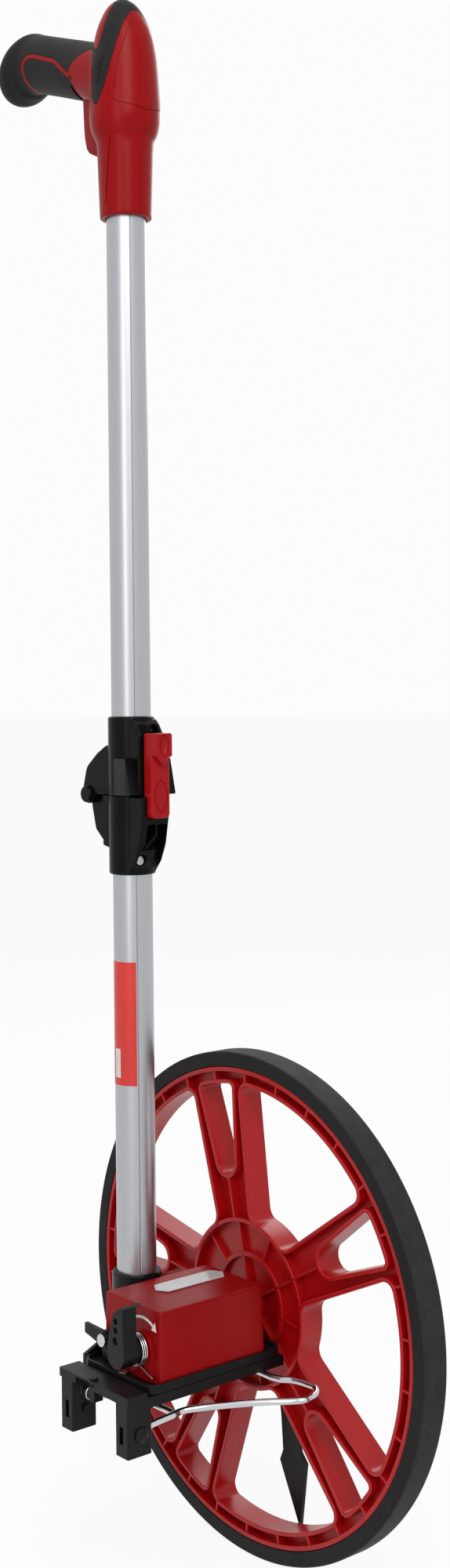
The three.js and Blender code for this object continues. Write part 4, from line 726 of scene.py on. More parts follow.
# Each row: name, slot, colour, drift colour, drift amount, patch scale,
# (roughness, its spread, grain scale, rub scale), bump, plain shader values
(red, red_wheel, red_latch, black, gloss_black, soft_black, chrome, steel, dark_steel, brass, drum_white,
 digit_black, print_white, label_red, label_pale) = [finish_of(*row) for row in (
    ("red gloss plastic", "red_plastic", (143, 5, 8), (126, 4, 7), 0.5, 14.0,
     (0.33, 0.08, 1400.0, 38.0), 0.03, shine(0.12)),
    ("red wheel plastic", "red_plastic", (168, 6, 11), (150, 5, 9), 0.5, 14.0,
     (0.32, 0.08, 1400.0, 38.0), 0.03, shine(0.32)),
    ("red latch plastic", "red_plastic", (156, 12, 17), (140, 10, 14), 0.5, 30.0,
     (0.34, 0.10, 1500.0, 70.0), 0.03, shine(0.16)),
    ("black satin plastic", "black_plastic", (15, 15, 16), (22, 22, 23), 0.5, 22.0,
     (0.38, 0.12, 1800.0, 60.0), 0.06, shine(0.18)),
    ("black gloss plastic", "black_plastic", (9, 9, 10), (15, 15, 16), 0.5, 26.0,
     (0.3, 0.1, 1500.0, 70.0), 0.03, shine(0.09)),
    ("soft black grip", "soft_black", (24, 24, 25), (34, 34, 35), 0.6, 30.0,
     (0.58, 0.16, 2400.0, 40.0), 0.12, shine(0.18)),
    ("chromed wire", "chrome", (200, 201, 204), (182, 184, 188), 0.4, 40.0,
     (0.1, 0.12, 900.0, 90.0), 0.05, METAL),
    ("zinc plated steel", "steel", (178, 180, 183), (150, 152, 150), 0.7, 60.0,
     (0.3, 0.2, 1500.0, 110.0), 0.12, METAL),
    ("blackened spring steel", "steel", (46, 46, 48), (60, 60, 62), 0.6, 80.0,
     (0.42, 0.15, 1500.0, 110.0), 0.1, METAL),
    ("turned brass", "brass", (188, 150, 78), (150, 112, 52), 0.6, 70.0,
     (0.28, 0.18, 1300.0, 120.0), 0.1, METAL),
    ("drum white", "drum_plastic", (232, 230, 222), (216, 212, 200), 0.5, 60.0,
     (0.42, 0.12, 1600.0, 80.0), 0.08, {}),
    ("digit ink", "black_plastic", (24, 24, 26), (44, 44, 46), 0.6, 300.0,
     (0.5, 0.15, 3000.0, 200.0), 0.08, {}),
    ("white print", "drum_plastic", (232, 230, 228), (206, 196, 194), 0.5, 160.0,
     (0.5, 0.15, 2600.0, 200.0), 0.08, {}),
    ("red label", "red_plastic", (205, 45, 35), (188, 34, 28), 0.6, 24.0,
     (0.34, 0.12, 1200.0, 60.0), 0.05, {}),
    ("pale label plate", "drum_plastic", (214, 208, 204), (196, 188, 184), 0.5, 90.0,
     (0.4, 0.12, 1500.0, 90.0), 0.05, {}),
)]
aluminium = finish_of(
    "satin anodised tube", "aluminium", (180, 182, 186), (166, 169, 174), 0.4, 9.0,
    (0.36, 0.06, 1700.0, (1, 1, 0.006)), 0.02, METAL, skin_group=LINES,
)


def tyre_rubber_finish():
    """Dark rubber: dimpled sides, and a tread worn to a lighter mottled grey."""
    material = finish_of(
        "tyre rubber", "tyre_rubber", (22, 22, 23), (31, 31, 32), 0.6, 26.0,
        (0.66, 0.2, 1100.0, 50.0), 0.25, shine(0.2), speck=700.0, depth=0.00012,
    )
    tree = material.node_tree
    shader = tree.nodes["Principled BSDF"]
    marks = group_node(tree, TYRE_MARKS)
    tint = shader.inputs["Base Color"].links[0].from_socket
    worn = group_node(tree, DRIFT, srgb(42, 42, 42), srgb(30, 30, 31), 130.0, 600.0, 1.0)
    relief = shader.inputs["Normal"].links[0].from_node
    grain = relief.inputs["Height"].links[0].from_socket
    deep = times(tree, marks["Dimple"], DIMPLE_DEPTH)
    link_all(
        tree,
        (mixed(tree, marks["Tread"], tint, worn["Colour"]), shader.inputs["Base Color"]),
        (minus(tree, grain, deep), relief.inputs["Height"]),
    )
    return material


def lens_finish():
    material, tree, shader = new_material("clear lens")
    shader.inputs["Metallic"].default_value = 0.0
    # Only part of the lens passes light; the rest shows its near-white base colour, a painted reflection that
    # keeps the lens bright
    shader.inputs["Transmission Weight"].default_value = LENS_CLEAR
    shader.inputs["IOR"].default_value = LENS_BEND
    tint = group_node(tree, DRIFT, (0.97, 0.98, 0.98, 1), (0.93, 0.95, 0.95, 1), 60.0, SPECK_SCALE, 0.6)
    surface = group_node(tree, GRAIN, 0.03, 0.05, 1600.0, 120.0)
    link_all(tree, (tint["Colour"], shader.inputs["Base Color"]),
             (surface["Roughness"], shader.inputs["Roughness"]))
    return material


rubber = tyre_rubber_finish()
clear = lens_finish()

# Wheel: channel rim, five Y spokes with a drop-shaped hole each, dished hub


def on_spoke(points, angle):
    sine, cosine = math.sin(angle), math.cos(angle)
    return [(a * sine + s * cosine, a * cosine - s * sine) for a, s in points]


def mirrored(half):
    return half + [(a, -s) for a, s in reversed(half[1:-1])]


def angle_of(point):
    return math.atan2(point.y, point.x)


def short_arc(centre, radius, start_way, end_way, steps):
    start = angle_of(start_way)
    sweep = (angle_of(end_way) - start + math.pi) % TURN - math.pi
    return arc(centre.x, centre.y, radius, start, start + sweep, steps)


def window_outline(grow):
    """The opening between two spokes, grown all round for the wall that frames it."""
    half = TURN / SPOKES / 2
    inner, outer = HUB_RADIUS - grow, WINDOW_RADIUS + grow
    way = Vector((math.cos(half), math.sin(half)))
    side = Vector((-way.y, way.x))
    foot = way * HUB_RADIUS - side * SPOKE_HALF_AT_HUB
    tip = way * WINDOW_RADIUS - side * SPOKE_HALF_AT_RIM
    run = (tip - foot).normalized()
    inwards = Vector((run.y, -run.x))
    foot -= inwards * grow

    def corner(radius, reach):
        start = foot + inwards * radius
        slope = start.dot(run)
        return start + run * (math.sqrt(slope**2 - start.length_squared + reach**2) - slope)

    at_hub = corner(WINDOW_HUB_CORNER + grow, inner + WINDOW_HUB_CORNER + grow)
    at_rim = corner(WINDOW_CORNER + grow, outer - WINDOW_CORNER - grow)
    return mirrored(
        arc(0, 0, inner, 0, angle_of(at_hub), WINDOW_HUB_STEPS)[:-1]
        + short_arc(at_hub, WINDOW_HUB_CORNER + grow, -at_hub, -inwards, WINDOW_CORNER_STEPS)
        + short_arc(at_rim, WINDOW_CORNER + grow, -inwards, at_rim, WINDOW_CORNER_STEPS)
        + arc(0, 0, outer, angle_of(at_rim), 0, WINDOW_RIM_STEPS)[1:]
    )


def drop_outline(grow):
    """The hole between the arms of a spoke: round towards the hub, square at the rim."""
    tip_radius, corner_radius = DROP_TIP_HALF + grow, DROP_END_CORNER + grow
    tip = Vector((DROP_TIP + DROP_TIP_HALF, 0))
    side = DROP_END_HALF - DROP_END_CORNER
    corner = Vector((math.sqrt((WINDOW_RADIUS - DROP_END_CORNER) ** 2 - side**2), side))
    between_centres = corner - tip
    lean = angle_of(between_centres) + math.acos((tip_radius - corner_radius) / between_centres.length)
    leaning = Vector((math.cos(lean), math.sin(lean)))
    return mirrored(
        arc(tip.x, tip.y, tip_radius, math.pi, lean, DROP_TIP_STEPS)
        + short_arc(corner, corner_radius, leaning, corner, DROP_CORNER_STEPS)
        + arc(0, 0, WINDOW_RADIUS + grow, angle_of(corner), 0, DROP_RIM_STEPS)[1:]
    )


def across(outlines, width, edge):
    return plate(outlines, "y", -width / 2, width / 2, edge)


def wheel_ring(radius, inner, width, edge, steps):
    return across([circle(radius, steps=steps), circle(inner, steps=steps)], width, edge)


def wheel_moulding():
    spokes = [SPOKE_TURN + i * TURN / SPOKES for i in range(SPOKES)]
    middles = [angle + TURN / SPOKES / 2 for angle in spokes]
    openings = [(window_outline, angle) for angle in middles] + [(drop_outline, angle) for angle in spokes]
    bore = AXLE_RADIUS + GAP
    in_walls = [on_spoke(outline(WALL / 2), angle) for outline, angle in openings]
    web = circle(RIM_RADIUS - RIM_WALL / 2, steps=RIM_WEB_STEPS)
    parts = [
        across([web, circle(bore)] + in_walls, WEB, WEB_EDGE),
        wheel_ring(RIM_RADIUS, RIM_RADIUS - RIM_WALL, WHEEL_WIDTH, RIM_EDGE, TYRE_STEPS),
        wheel_ring(HUB_RADIUS - HUB_LEDGE, HUB_RADIUS - HUB_WALL, HUB_WIDTH, HUB_EDGE, HUB_STEPS),
        wheel_ring(HUB_RING, HUB_RING - HUB_WALL, HUB_RING_WIDTH, HUB_EDGE, ROUND_STEPS),
        wheel_ring(BOSS_RADIUS, bore, BOSS_WIDTH, RIM_EDGE, BOSS_STEPS),
    ]
    for outline, angle in openings:
        frame_walls = [on_spoke(outline(grow), angle) for grow in (WALL, 0)]
        parts.append(across(frame_walls, WALL_WIDTH, WALL_EDGE))
    half_wall = HUB_WALL / 2
    for start, end, width, count in (
        (WINDOW_RADIUS + WALL / 2, RIM_RADIUS - RIM_WALL + GAP, RIM_RIB_WIDTH, RIM_RIBS),
        (HUB_RING - half_wall, HUB_RADIUS - half_wall, HUB_RING_WIDTH, HUB_RIBS),
        (BOSS_RADIUS - WALL, HUB_RING - half_wall, HUB_RING_WIDTH, SPOKES),
        (HUB_RADIUS - half_wall, DROP_TIP - WALL / 2, HUB_WIDTH, SPOKES),
    ):
        flat = [(start, -RIB / 2), (end, -RIB / 2), (end, RIB / 2), (start, RIB / 2)]
        rib = across([on_spoke(flat, SPOKE_TURN)], width, WEB_EDGE)
        parts.append(round_axis(rib, count, red_wheel))
    return joined(parts)


shown("wheel_moulding", wheel_moulding(), red_wheel, "wheel", ["wheel"])

near, far = -TYRE_WIDTH / 2, TYRE_WIDTH / 2
tyre_outline = [(TYRE_SEAT, near), (TYRE_RADIUS, near), (TYRE_RADIUS, far), (TYRE_SEAT, far)]
tyre_profile = rounded(tyre_outline, TYRE_CORNERS, CORNER_STEPS)
shown("tyre_band", lathe(tyre_profile, "y", TYRE_STEPS), rubber, "wheel", ["tyre"])

# Pole tubes, each with a thin flute along it

FLUTE_TURN = math.radians(-25)
FLUTE_HALF = 0.6
FLUTE_DEPTH = 0.5
FLUTE_SPOTS = (-0.9, -0.6, -0.3, 0, 0.3, 0.6, 0.9)
LOWER_TUBE_END = -25.8
UPPER_TUBE_END = 740.0


def tube(start, end):
    """A tube whose outside has a V-shaped flute; its ends are open."""
    angles = [k * TURN / ROUND_STEPS for k in range(ROUND_STEPS)]
    angles += [FLUTE_TURN % TURN + d / TUBE_RADIUS for d in FLUTE_SPOTS]
    outside = []
    for a in sorted(angles):
        aside = abs((a - FLUTE_TURN + math.pi) % TURN - math.pi) * TUBE_RADIUS
        radius = TUBE_RADIUS - FLUTE_DEPTH * max(0.0, 1 - aside / FLUTE_HALF)
        outside.append((POLE_X + radius * math.cos(a), POLE_Y + radius * math.sin(a)))
    return plate([outside, circle(TUBE_RADIUS - TUBE_WALL, POLE_X, POLE_Y)], "z", start, end)


lower_tube = tube(LOWER_TUBE_END, HINGE_Z - TUBE_STOP - GAP)
upper_tube = tube(HINGE_Z + TUBE_STOP + GAP, UPPER_TUBE_END)
shown("lower_tube_fluted", lower_tube, aluminium, "carriage", ["lower_tube"])
shown("upper_tube_fluted", upper_tube, aluminium, "upper_pole", ["upper_tube"])

# Stand: one bent wire and its cross rod

STAND_SHARES = [(1, 0.15), (1.035, 0.27), (1.09, 0.38), (1.69, 0.6), (2.19, 0.755)]
EAR_SHARES = [(0.965, 0.885), (0.99, 0.945), (0.975, 1.01), (0.9, 1.058), (0.79, 1.062), (0.67, 1.045),
              (0.59, 1.01), (0.5, 0.99)]
STAND_BEND = 3
BEND_TURNS = (0.2, 0.5, 0.8, 1.1, 1.4)
CAP_SEAT = 27.8 + 12.2 / 2 + GAP
WIRE_IN_CAP = 0.9
STAND_WIRE_SIDES = 20


def on_stand(reach, run):
    """A point in the plane of the stand, to the side and towards the wheel."""
    return Vector((STAND_MIDDLE + reach, STAND_Y + run, STAND_Z + STAND_RISE * run / STAND_LENGTH))


def stand_path():
    bend = [on_stand(STAND_SPREAD + STAND_BEND * (1 - math.sin(a)), STAND_BEND * (1 - math.cos(a)))
            for a in BEND_TURNS]
    run = [on_stand(r * STAND_SPREAD, s * STAND_LENGTH) for r, s in STAND_SHARES]
    ear = [on_stand(r * STAND_EAR, s * STAND_LENGTH) for r, s in EAR_SHARES]
    curve = smoothed([bend[-1]] + run + ear, CURVE_STEPS)
    side = [on_stand(CAP_SEAT + WIRE_IN_CAP, 0), on_stand(STAND_SPREAD + STAND_BEND, 0)] + bend[:-1] + curve
    other = [Vector((2 * STAND_MIDDLE - p.x, p.y, p.z)) for p in side]
    return side + list(reversed(other))


stand_wire = wire(stand_path(), WIRE_RADIUS, STAND_WIRE_SIDES, chrome)
shown("stand_bent_wire", stand_wire, chrome, "stand", ["stand_wire"])

# Fold hinge: two barrels round the tubes, with a fin to the hinge pin and a front for the latch

PIN_X = POLE_X - 33.6
FIN_HALF = 10.0
PIN_FACE = POLE_Y - (FIN_HALF + GAP)
PIN_BACK = POLE_Y + (FIN_HALF + GAP)
PIN_DOME = 1.5
PIN_HEAD = [(0, 0), (5.4, 0), (5.4, 1.1)] + [
    (5.4 - PIN_DOME * (1 - math.cos(a)), 1.1 + PIN_DOME * math.sin(a)) for a in (0.4, 0.9, 1.3)
] + [(3.9, 2.45), (0, 2.6)]
PIN_TAIL = [(0, 0), (3.9, 0), (3.9, 1.0), (3.6, 1.3), (0, 1.3)]
PIN_ROD = 2.6
PIN_ROD_PAST = 0.5
BARREL = 14.75
BARREL_EDGE = 0.3
BARREL_END_EDGE = 1.6
BORE = TUBE_RADIUS + GAP
HINGE_HEIGHT = 49.8
HINGE_EDGE = 0.9
TONGUE_HALF = 5.6
FIN_REACH = 40.0
UPPER_KNUCKLE = 6.0
UPPER_KNUCKLE_EDGE = 0.6
LOWER_KNUCKLE = 5.5
LOWER_KNUCKLE_EDGE = 0.5
PAST_PIN = 12
PAST = 3
SLOT_DROP = 11
FRONT_HALF = 10.5
FRONT_REACH = 25.4
FRONT_UPPER_REACH = 21.4
FRONT_WALL = 1.3
FRONT_ROOT = 8.0
FRONT_EDGE = 1.4
CHEEK_INNER = PIN_X + LOWER_KNUCKLE + 3 * GAP
UPPER_FIN_SHARES = [(0.2, 0), (1, 0), (1, 0.052), (0.888, 0.35), (0.6, 0.53), (0.35, 0.635), (0.2, 0.635)]
UPPER_FIN_CORNERS = [0, 1.5, 2.5, 9, 14, 8, 0]
LOWER_FIN_SHARES = [(0.2, 0), (0.9, 0), (0.9, 0.149), (0.8, 0.455), (0.62, 0.58), (0.43, 0.65), (0.2, 0.69)]
LOWER_FIN_CORNERS = [0, 1.5, 2.5, 4, 5, 5, 0]
LOWER_FIN_STEP = 17.5
LOWER_FRONT_SHARES = [(1, 0), (1, 0.25), (0.866, 0.61), (0.67, 0.83), (0.4, 0.99)]
LOWER_FRONT_CORNERS = [0, 0.6, 10, 14, 8, 6, 0]
LOWER_FRONT_END = 0.99
UPPER_FRONT_SHARES = [(1, 0), (1, 0.76), (0.88, 0.82), (0.76, 0.9), (0.63, 0.955), (0.42, 1)]
UPPER_FRONT_CORNERS = [0, 0.6, 3, 3, 3, 3, 2, 0]
RIB_SLOT_HALF = 3.3
RIB_SLOT_WALL = 1.3
RIB_SLOT_TOP = 45.0
OPENING_CORNER = 2.2
UPPER_OPENING = [(-7.6, 33), (7.6, 33), (7.6, 45), (-7.6, 45)]
SCREW_SIDE = -9.2
LOWER_OPENING = [(SCREW_SIDE, -46.0), (9.2, -46.0), (9.2, -17.6), (-6.4, -17.6), (-6.4, -31),
                 (SCREW_SIDE, -34.5)]
LATCH_WAY_HALF = 7.4
LATCH_WAY_BOTTOM = -14.4
POCKET_RIB = [(2.2, -17), (2.2, -24.6), (-7.0, -32.6)]
POCKET_RIB_FACE = 22.4
POCKET_RIB_EDGE = 0.2
POCKET_FLOOR = [(BORE, -33.1), (20.6, -33.6), (17.4, -41), (BORE, -47.5)]
POCKET_FLOOR_CORNER = 1.0
POCKET_FLOOR_SIDES = (SCREW_SIDE - 0.4, 2.6)
POCKET_FLOOR_EDGE = 0.3
SCREW_HOLE = 3.8
SCREW_HOLE_FLOOR = 13.97
SCREW_HOLE_STEPS = 40
SCREW_PLACE = (-6.09, -40.34)
WING_SIDE = 17.8
WING_TOP = 23.5
WING_PLAN = [(0, FRONT_HALF - GAP), (0, BARREL - 0.2), (10, 16.4), (17, WING_SIDE), (24, WING_SIDE),
             (24, FRONT_HALF - GAP)]
WING_LEAN = [(-1, GAP), (22.3, 0.7), (17.0, WING_TOP), (-1, WING_TOP)]
WING_CORNERS = [0, 1.2, 1.2, 0]
PAST_WING = 20


def cube(x0, x1, y0, y1, z0, z1):
    return plate([[(x0, y0), (x1, y0), (x1, y1), (x0, y1)]], "z", z0, z1)


def at_hinge(u0, u1, v0, v1, z0, z1):
    return cube(POLE_X + u0, POLE_X + u1, POLE_Y + v0, POLE_Y + v1, HINGE_Z + z0, HINGE_Z + z1)


def from_front(points, corners, steps, base=HINGE_Z):
    """An outline seen along X, from offsets to the pole and the parting line or another height."""
    return rounded([(POLE_Y + v, base + rise) for v, rise in points], corners, steps)


def from_side(points, corners, steps):
    """An outline seen along Y, from offsets to the pole and the parting line."""
    return rounded([(POLE_X + u, HINGE_Z + rise) for u, rise in points], corners, steps)


def hinge_side(shares, out, way, corners):
    points = [(u * out, way * max(v * HINGE_HEIGHT, GAP / 2)) for u, v in shares]
    return from_side(points, corners, CORNER_STEPS)


def hinge_barrel(way):
    """A barrel open at the tube's end and closed at the parting line."""
    inner, top = BARREL - BARREL_END_EDGE, HINGE_HEIGHT - BARREL_END_EDGE
    profile = [(0, GAP / 2), (BARREL - BARREL_EDGE, GAP / 2), (BARREL, GAP / 2 + BARREL_EDGE)]
    profile += [(inner + BARREL_END_EDGE * math.cos(a), top + BARREL_END_EDGE * math.sin(a))
                for a in (0, 0.5, 1.0, QUARTER)]
    profile += [(BORE, HINGE_HEIGHT), (BORE, TUBE_STOP), (0, TUBE_STOP)]
    return lathe([(r, HINGE_Z + way * rise) for r, rise in profile], "z", ROUND_STEPS, POLE_X, POLE_Y, False)


def about_pole(outline, half, edge=0.0, rounds=3):
    """An outline seen from the side, run out to both sides of the pole's middle."""
    return plate([outline], "y", POLE_Y - half, POLE_Y + half, edge, rounds)


def before_pole(outlines, near, far, edge=0.0, rounds=4):
    """Outlines seen from the front, run between two distances from the pole's axis."""
    return plate(outlines, "x", POLE_X + near, POLE_X + far, edge, rounds)


def knuckle(radius, half, edge):
    return about_pole(circle(radius, PIN_X, HINGE_Z, PIN_STEPS), half, edge, 2)


def hinge_front(shares, reach, way, end, corners):
    """The block in front of a barrel, which holds the latch."""
    shares = [(FRONT_ROOT / reach, 0)] + shares + [(FRONT_ROOT / reach, end)]
    return about_pole(hinge_side(shares, reach, way, corners), FRONT_HALF, FRONT_EDGE)


def hinge_upper():
    fin = about_pole(hinge_side(UPPER_FIN_SHARES, -FIN_REACH, 1, UPPER_FIN_CORNERS), FIN_HALF, HINGE_EDGE)
    slot = cube(PIN_X - PAST_PIN, CHEEK_INNER, POLE_Y - TONGUE_HALF - GAP, POLE_Y + TONGUE_HALF + GAP,
                HINGE_Z - SLOT_DROP, HINGE_Z + HINGE_HEIGHT)
    front = hinge_front(UPPER_FRONT_SHARES, FRONT_UPPER_REACH, 1, 1, UPPER_FRONT_CORNERS)
    front = cut_with(front, at_hinge(TUBE_RADIUS + RIB_SLOT_WALL, FRONT_REACH, -RIB_SLOT_HALF, RIB_SLOT_HALF,
                                     TUBE_STOP, RIB_SLOT_TOP))
    opening = from_front(UPPER_OPENING, OPENING_CORNER, 4)
    front = cut_with(front, before_pole([opening], BORE + FRONT_WALL, FRONT_REACH))
    cheeks = [cut_with(mesh, slot) for mesh in (fin, knuckle(UPPER_KNUCKLE, FIN_HALF, UPPER_KNUCKLE_EDGE))]
    return joined([hinge_barrel(1), *cheeks, front, hinge_wing(-1), hinge_wing(1)])


def hinge_wing(side):
    """A wedge beside the latch: its outer face leaves the barrel in line, its front leans out downwards."""
    block = plate([[(POLE_X + u, POLE_Y + side * v) for u, v in WING_PLAN]], "z", HINGE_Z + GAP,
                  HINGE_Z + WING_TOP)
    lean = [(POLE_X + u, HINGE_Z + rise) for u, rise in rounded(WING_LEAN, WING_CORNERS, SMALL_CORNER_STEPS)]
    return cut_with(block, about_pole(lean, PAST_WING), "INTERSECT")


def hinge_lower():
    fin = hinge_side(LOWER_FIN_SHARES, -FIN_REACH, -1, LOWER_FIN_CORNERS)
    recess = cube(PIN_X - PAST_PIN, POLE_X - LOWER_FIN_STEP, POLE_Y - BARREL, POLE_Y + BARREL,
                  HINGE_Z - HINGE_HEIGHT, HINGE_Z + PAST)
    front = hinge_front(LOWER_FRONT_SHARES, FRONT_REACH, -1, LOWER_FRONT_END, LOWER_FRONT_CORNERS)
    opening = from_front(LOWER_OPENING, OPENING_CORNER, 4)
    front = cut_with(front, before_pole([opening], BORE + FRONT_WALL, FRONT_REACH + PAST))
    front = cut_with(front, at_hinge(FRONT_UPPER_REACH, FRONT_REACH + PAST, -LATCH_WAY_HALF, LATCH_WAY_HALF,
                                     LATCH_WAY_BOTTOM, PAST))
    rib_line = [Vector((POLE_Y + v, HINGE_Z + rise)) for v, rise in POCKET_RIB]
    rib = before_pole([beside(rib_line, FRONT_WALL / 2)], BORE, POCKET_RIB_FACE, POCKET_RIB_EDGE, 2)
    near, far = (POLE_Y + v for v in POCKET_FLOOR_SIDES)
    floor = from_side(POCKET_FLOOR, POCKET_FLOOR_CORNER, SMALL_CORNER_STEPS)
    floor = plate([floor], "y", near, far, POCKET_FLOOR_EDGE)
    hole = circle(SCREW_HOLE, POLE_Y + SCREW_PLACE[0], HINGE_Z + SCREW_PLACE[1], SCREW_HOLE_STEPS)
    floor = cut_with(floor, before_pole([hole], SCREW_HOLE_FLOOR, FRONT_REACH + PAST))
    cheeks = cut_with(about_pole(fin, FIN_HALF, HINGE_EDGE), recess)
    tongue = about_pole(fin, TONGUE_HALF, HINGE_EDGE)
    by_pin = knuckle(LOWER_KNUCKLE, TONGUE_HALF, LOWER_KNUCKLE_EDGE)
    return joined([hinge_barrel(-1), cheeks, tongue, by_pin, front, rib, floor])


def pin_button():
    """The hinge pin with its domed head and a flat one behind."""
    head = [(r, PIN_FACE - out) for r, out in PIN_HEAD]
    tail = [(r, PIN_BACK + out) for r, out in PIN_TAIL]
    near, far = PIN_FACE - PIN_ROD_PAST, PIN_BACK + PIN_ROD_PAST
    rod = [(0, near), (PIN_ROD, near), (PIN_ROD, far), (0, far)]
    return joined([lathe(profile, "y", PIN_STEPS, PIN_X, HINGE_Z, False) for profile in (head, tail, rod)])


for node, moulding in (("hinge_upper", hinge_upper), ("hinge_lower", hinge_lower), ("hinge_pin", pin_button)):
    shown(node + "_moulding", moulding(), gloss_black, frame["nodes"][node]["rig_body"], [node], 35)

# Latch: a slider with a deeper pad at its top, a thumb hollow, and an oval groove at the parting line

LATCH_FACE = 30.3
LATCH_PAD_FACE = 33.8
LATCH_TOP = 39.3
LATCH_INNER = FRONT_UPPER_REACH + GAP
LATCH_OUTLINE = [(-7.1, -13.8), (7.1, -13.8), (7.1, LATCH_TOP), (-7.1, LATCH_TOP)]
LATCH_CORNERS = [3.8, 3.8, 1.6, 1.6]
LATCH_EDGE = 1.1
GROOVE_OUTER = (5.2, 10.6)
GROOVE_INNER = (4.5, 9.6)
GROOVE_DEPTH = 0.45
OVAL_POINT = 0.8
OVAL_STEPS = 16
PAD_HEIGHT = 16
PAD_LOW = HINGE_Z + LATCH_TOP - PAD_HEIGHT
PAD_OUTLINE = [(0, -5.4), (4.2, 0.8), (6.9, 1.4), (6.9, PAD_HEIGHT), (-6.9, PAD_HEIGHT), (-6.9, 1.4),
               (-4.2, 0.8)]
PAD_CORNERS = [1.6, 1.6, 2, 1.6, 1.6, 2, 1.6]
PAD_EDGE = 1.3
PAD_ROOT = 2
THUMB_CENTRE = (POLE_X + LATCH_PAD_FACE + 0.6, POLE_Y, PAD_LOW + 8.6)
THUMB_RADII = (3.4, 3.8, 6.8)
BALL_RINGS = 24
LATCH_RIB_DEPTH = 7.2
LATCH_RIB_HALF = 3
LATCH_RIB_LENGTH = 20


def ellipsoid(centre, radii):
    shape = bmesh.new()
    bmesh.ops.create_uvsphere(shape, u_segments=BALL_RINGS * 2, v_segments=BALL_RINGS, radius=1)
    for point in shape.verts:
        point.co = Vector(centre) + Vector(a * b for a, b in zip(point.co, radii))
    return mesh_of(shape)


def pointed_oval(half_width, half_height):
    """An oval with a point at its top and its bottom."""
    shares = [-1 + 2 * k / OVAL_STEPS for k in range(OVAL_STEPS + 1)]
    right = [(POLE_Y + half_width * (1 - s * s) ** OVAL_POINT, HINGE_Z + half_height * s) for s in shares]
    return right + [(2 * POLE_Y - y, z) for y, z in right[-2:0:-1]]


def latch_slider():
    slab = from_front(LATCH_OUTLINE, LATCH_CORNERS, CORNER_STEPS)
    slab = before_pole([slab], LATCH_INNER, LATCH_FACE, LATCH_EDGE)
    groove = [pointed_oval(*GROOVE_OUTER), pointed_oval(*GROOVE_INNER)]
    ring = before_pole(groove, LATCH_FACE - GROOVE_DEPTH, LATCH_FACE + PAST)
    pad = from_front(PAD_OUTLINE, PAD_CORNERS, CORNER_STEPS, PAD_LOW)
    pad = before_pole([pad], LATCH_FACE - PAD_ROOT, LATCH_PAD_FACE, PAD_EDGE)
    pad = cut_with(pad, ellipsoid(THUMB_CENTRE, THUMB_RADII))
    rib = at_hinge(LATCH_INNER - LATCH_RIB_DEPTH, LATCH_INNER + GAP, -LATCH_RIB_HALF, LATCH_RIB_HALF,
                   TUBE_STOP + GAP, TUBE_STOP + GAP + LATCH_RIB_LENGTH)
    return joined([cut_with(slab, ring), pad, rib])


shown("latch_slider", latch_slider(), red_latch, "latch", ["latch"], 35)

# Handle: neck and head on the pole, a tilted grip with a flared butt, a soft sleeve and a front cover

NECK_TOP = 738.8
NECK_RINGS = [(16.4, 690.0), (17.9, NECK_TOP - 3), (18.3, NECK_TOP)]
HEAD_TOP = 829.0
HEAD_RADIUS = 22.3
HEAD_STEPS = 72
GRIP_TILT = math.radians(20)
GRIP_RADIUS = 18.9
GRIP_SIDE = 17.6
GRIP_LENGTH = 107.5
GRIP_ROOT = Vector((-60.0, POLE_Y, 788.4))
GRIP_STEPS = 64
SLEEVE = 1.1
# Height up the head, radius and lean back, as shares of the head's
HEAD_SHARES = [(0.13, 1, 0), (0.42, 0.965, 0), (0.62, 0.9, -0.01), (0.76, 0.79, -0.02), (0.87, 0.62, -0.03),
               (0.95, 0.42, -0.04), (1, 0.16, -0.05)]
# Place along the grip, half height, half width and drop, as shares of the grip's
GRIP_SHARES = [(-0.12, 1.16, 0.98, -0.06), (0.02, 1.06, 0.98, -0.02), (0.14, 0.99, 0.98, 0),
               (0.68, 1, 1, 0.01), (0.76, 1.13, 1.1, 0.12), (0.815, 1.26, 1.2, 0.26),
               (0.865, 1.22, 1.16, 0.34), (0.905, 1.06, 1, 0.38), (0.925, 0.68, 0.68, 0.4)]
BUTT_START = 0.72
BUTT_RUN = 0.12
BUTT_LEAN = 0.15
VOXEL = 0.8
SOFTEN_ROUNDS = 5
FILLET_ROUNDS = 60
FILLET_ABOVE = 20
FILLET_FAR, FILLET_FAR_RUN = 44, 10
FILLET_NEAR, FILLET_NEAR_RUN = 10, 6


def head_skin(grow=0.0):
    neck = [Vector((reach, z, 0)) for reach, z in NECK_RINGS]
    dome = [Vector((r * HEAD_RADIUS, NECK_TOP + h * (HEAD_TOP - NECK_TOP), lean * HEAD_RADIUS))
            for h, r, lean in HEAD_SHARES]
    rings = []
    for reach, z, lean in neck[:2] + smoothed([neck[2]] + dome, CURVE_STEPS):
        rise = grow if z > HEAD_TOP - 1 else 0
        rings.append([(x, y, z + rise) for x, y in circle(reach + grow, POLE_X + lean, POLE_Y, HEAD_STEPS)])
    return skin(rings)


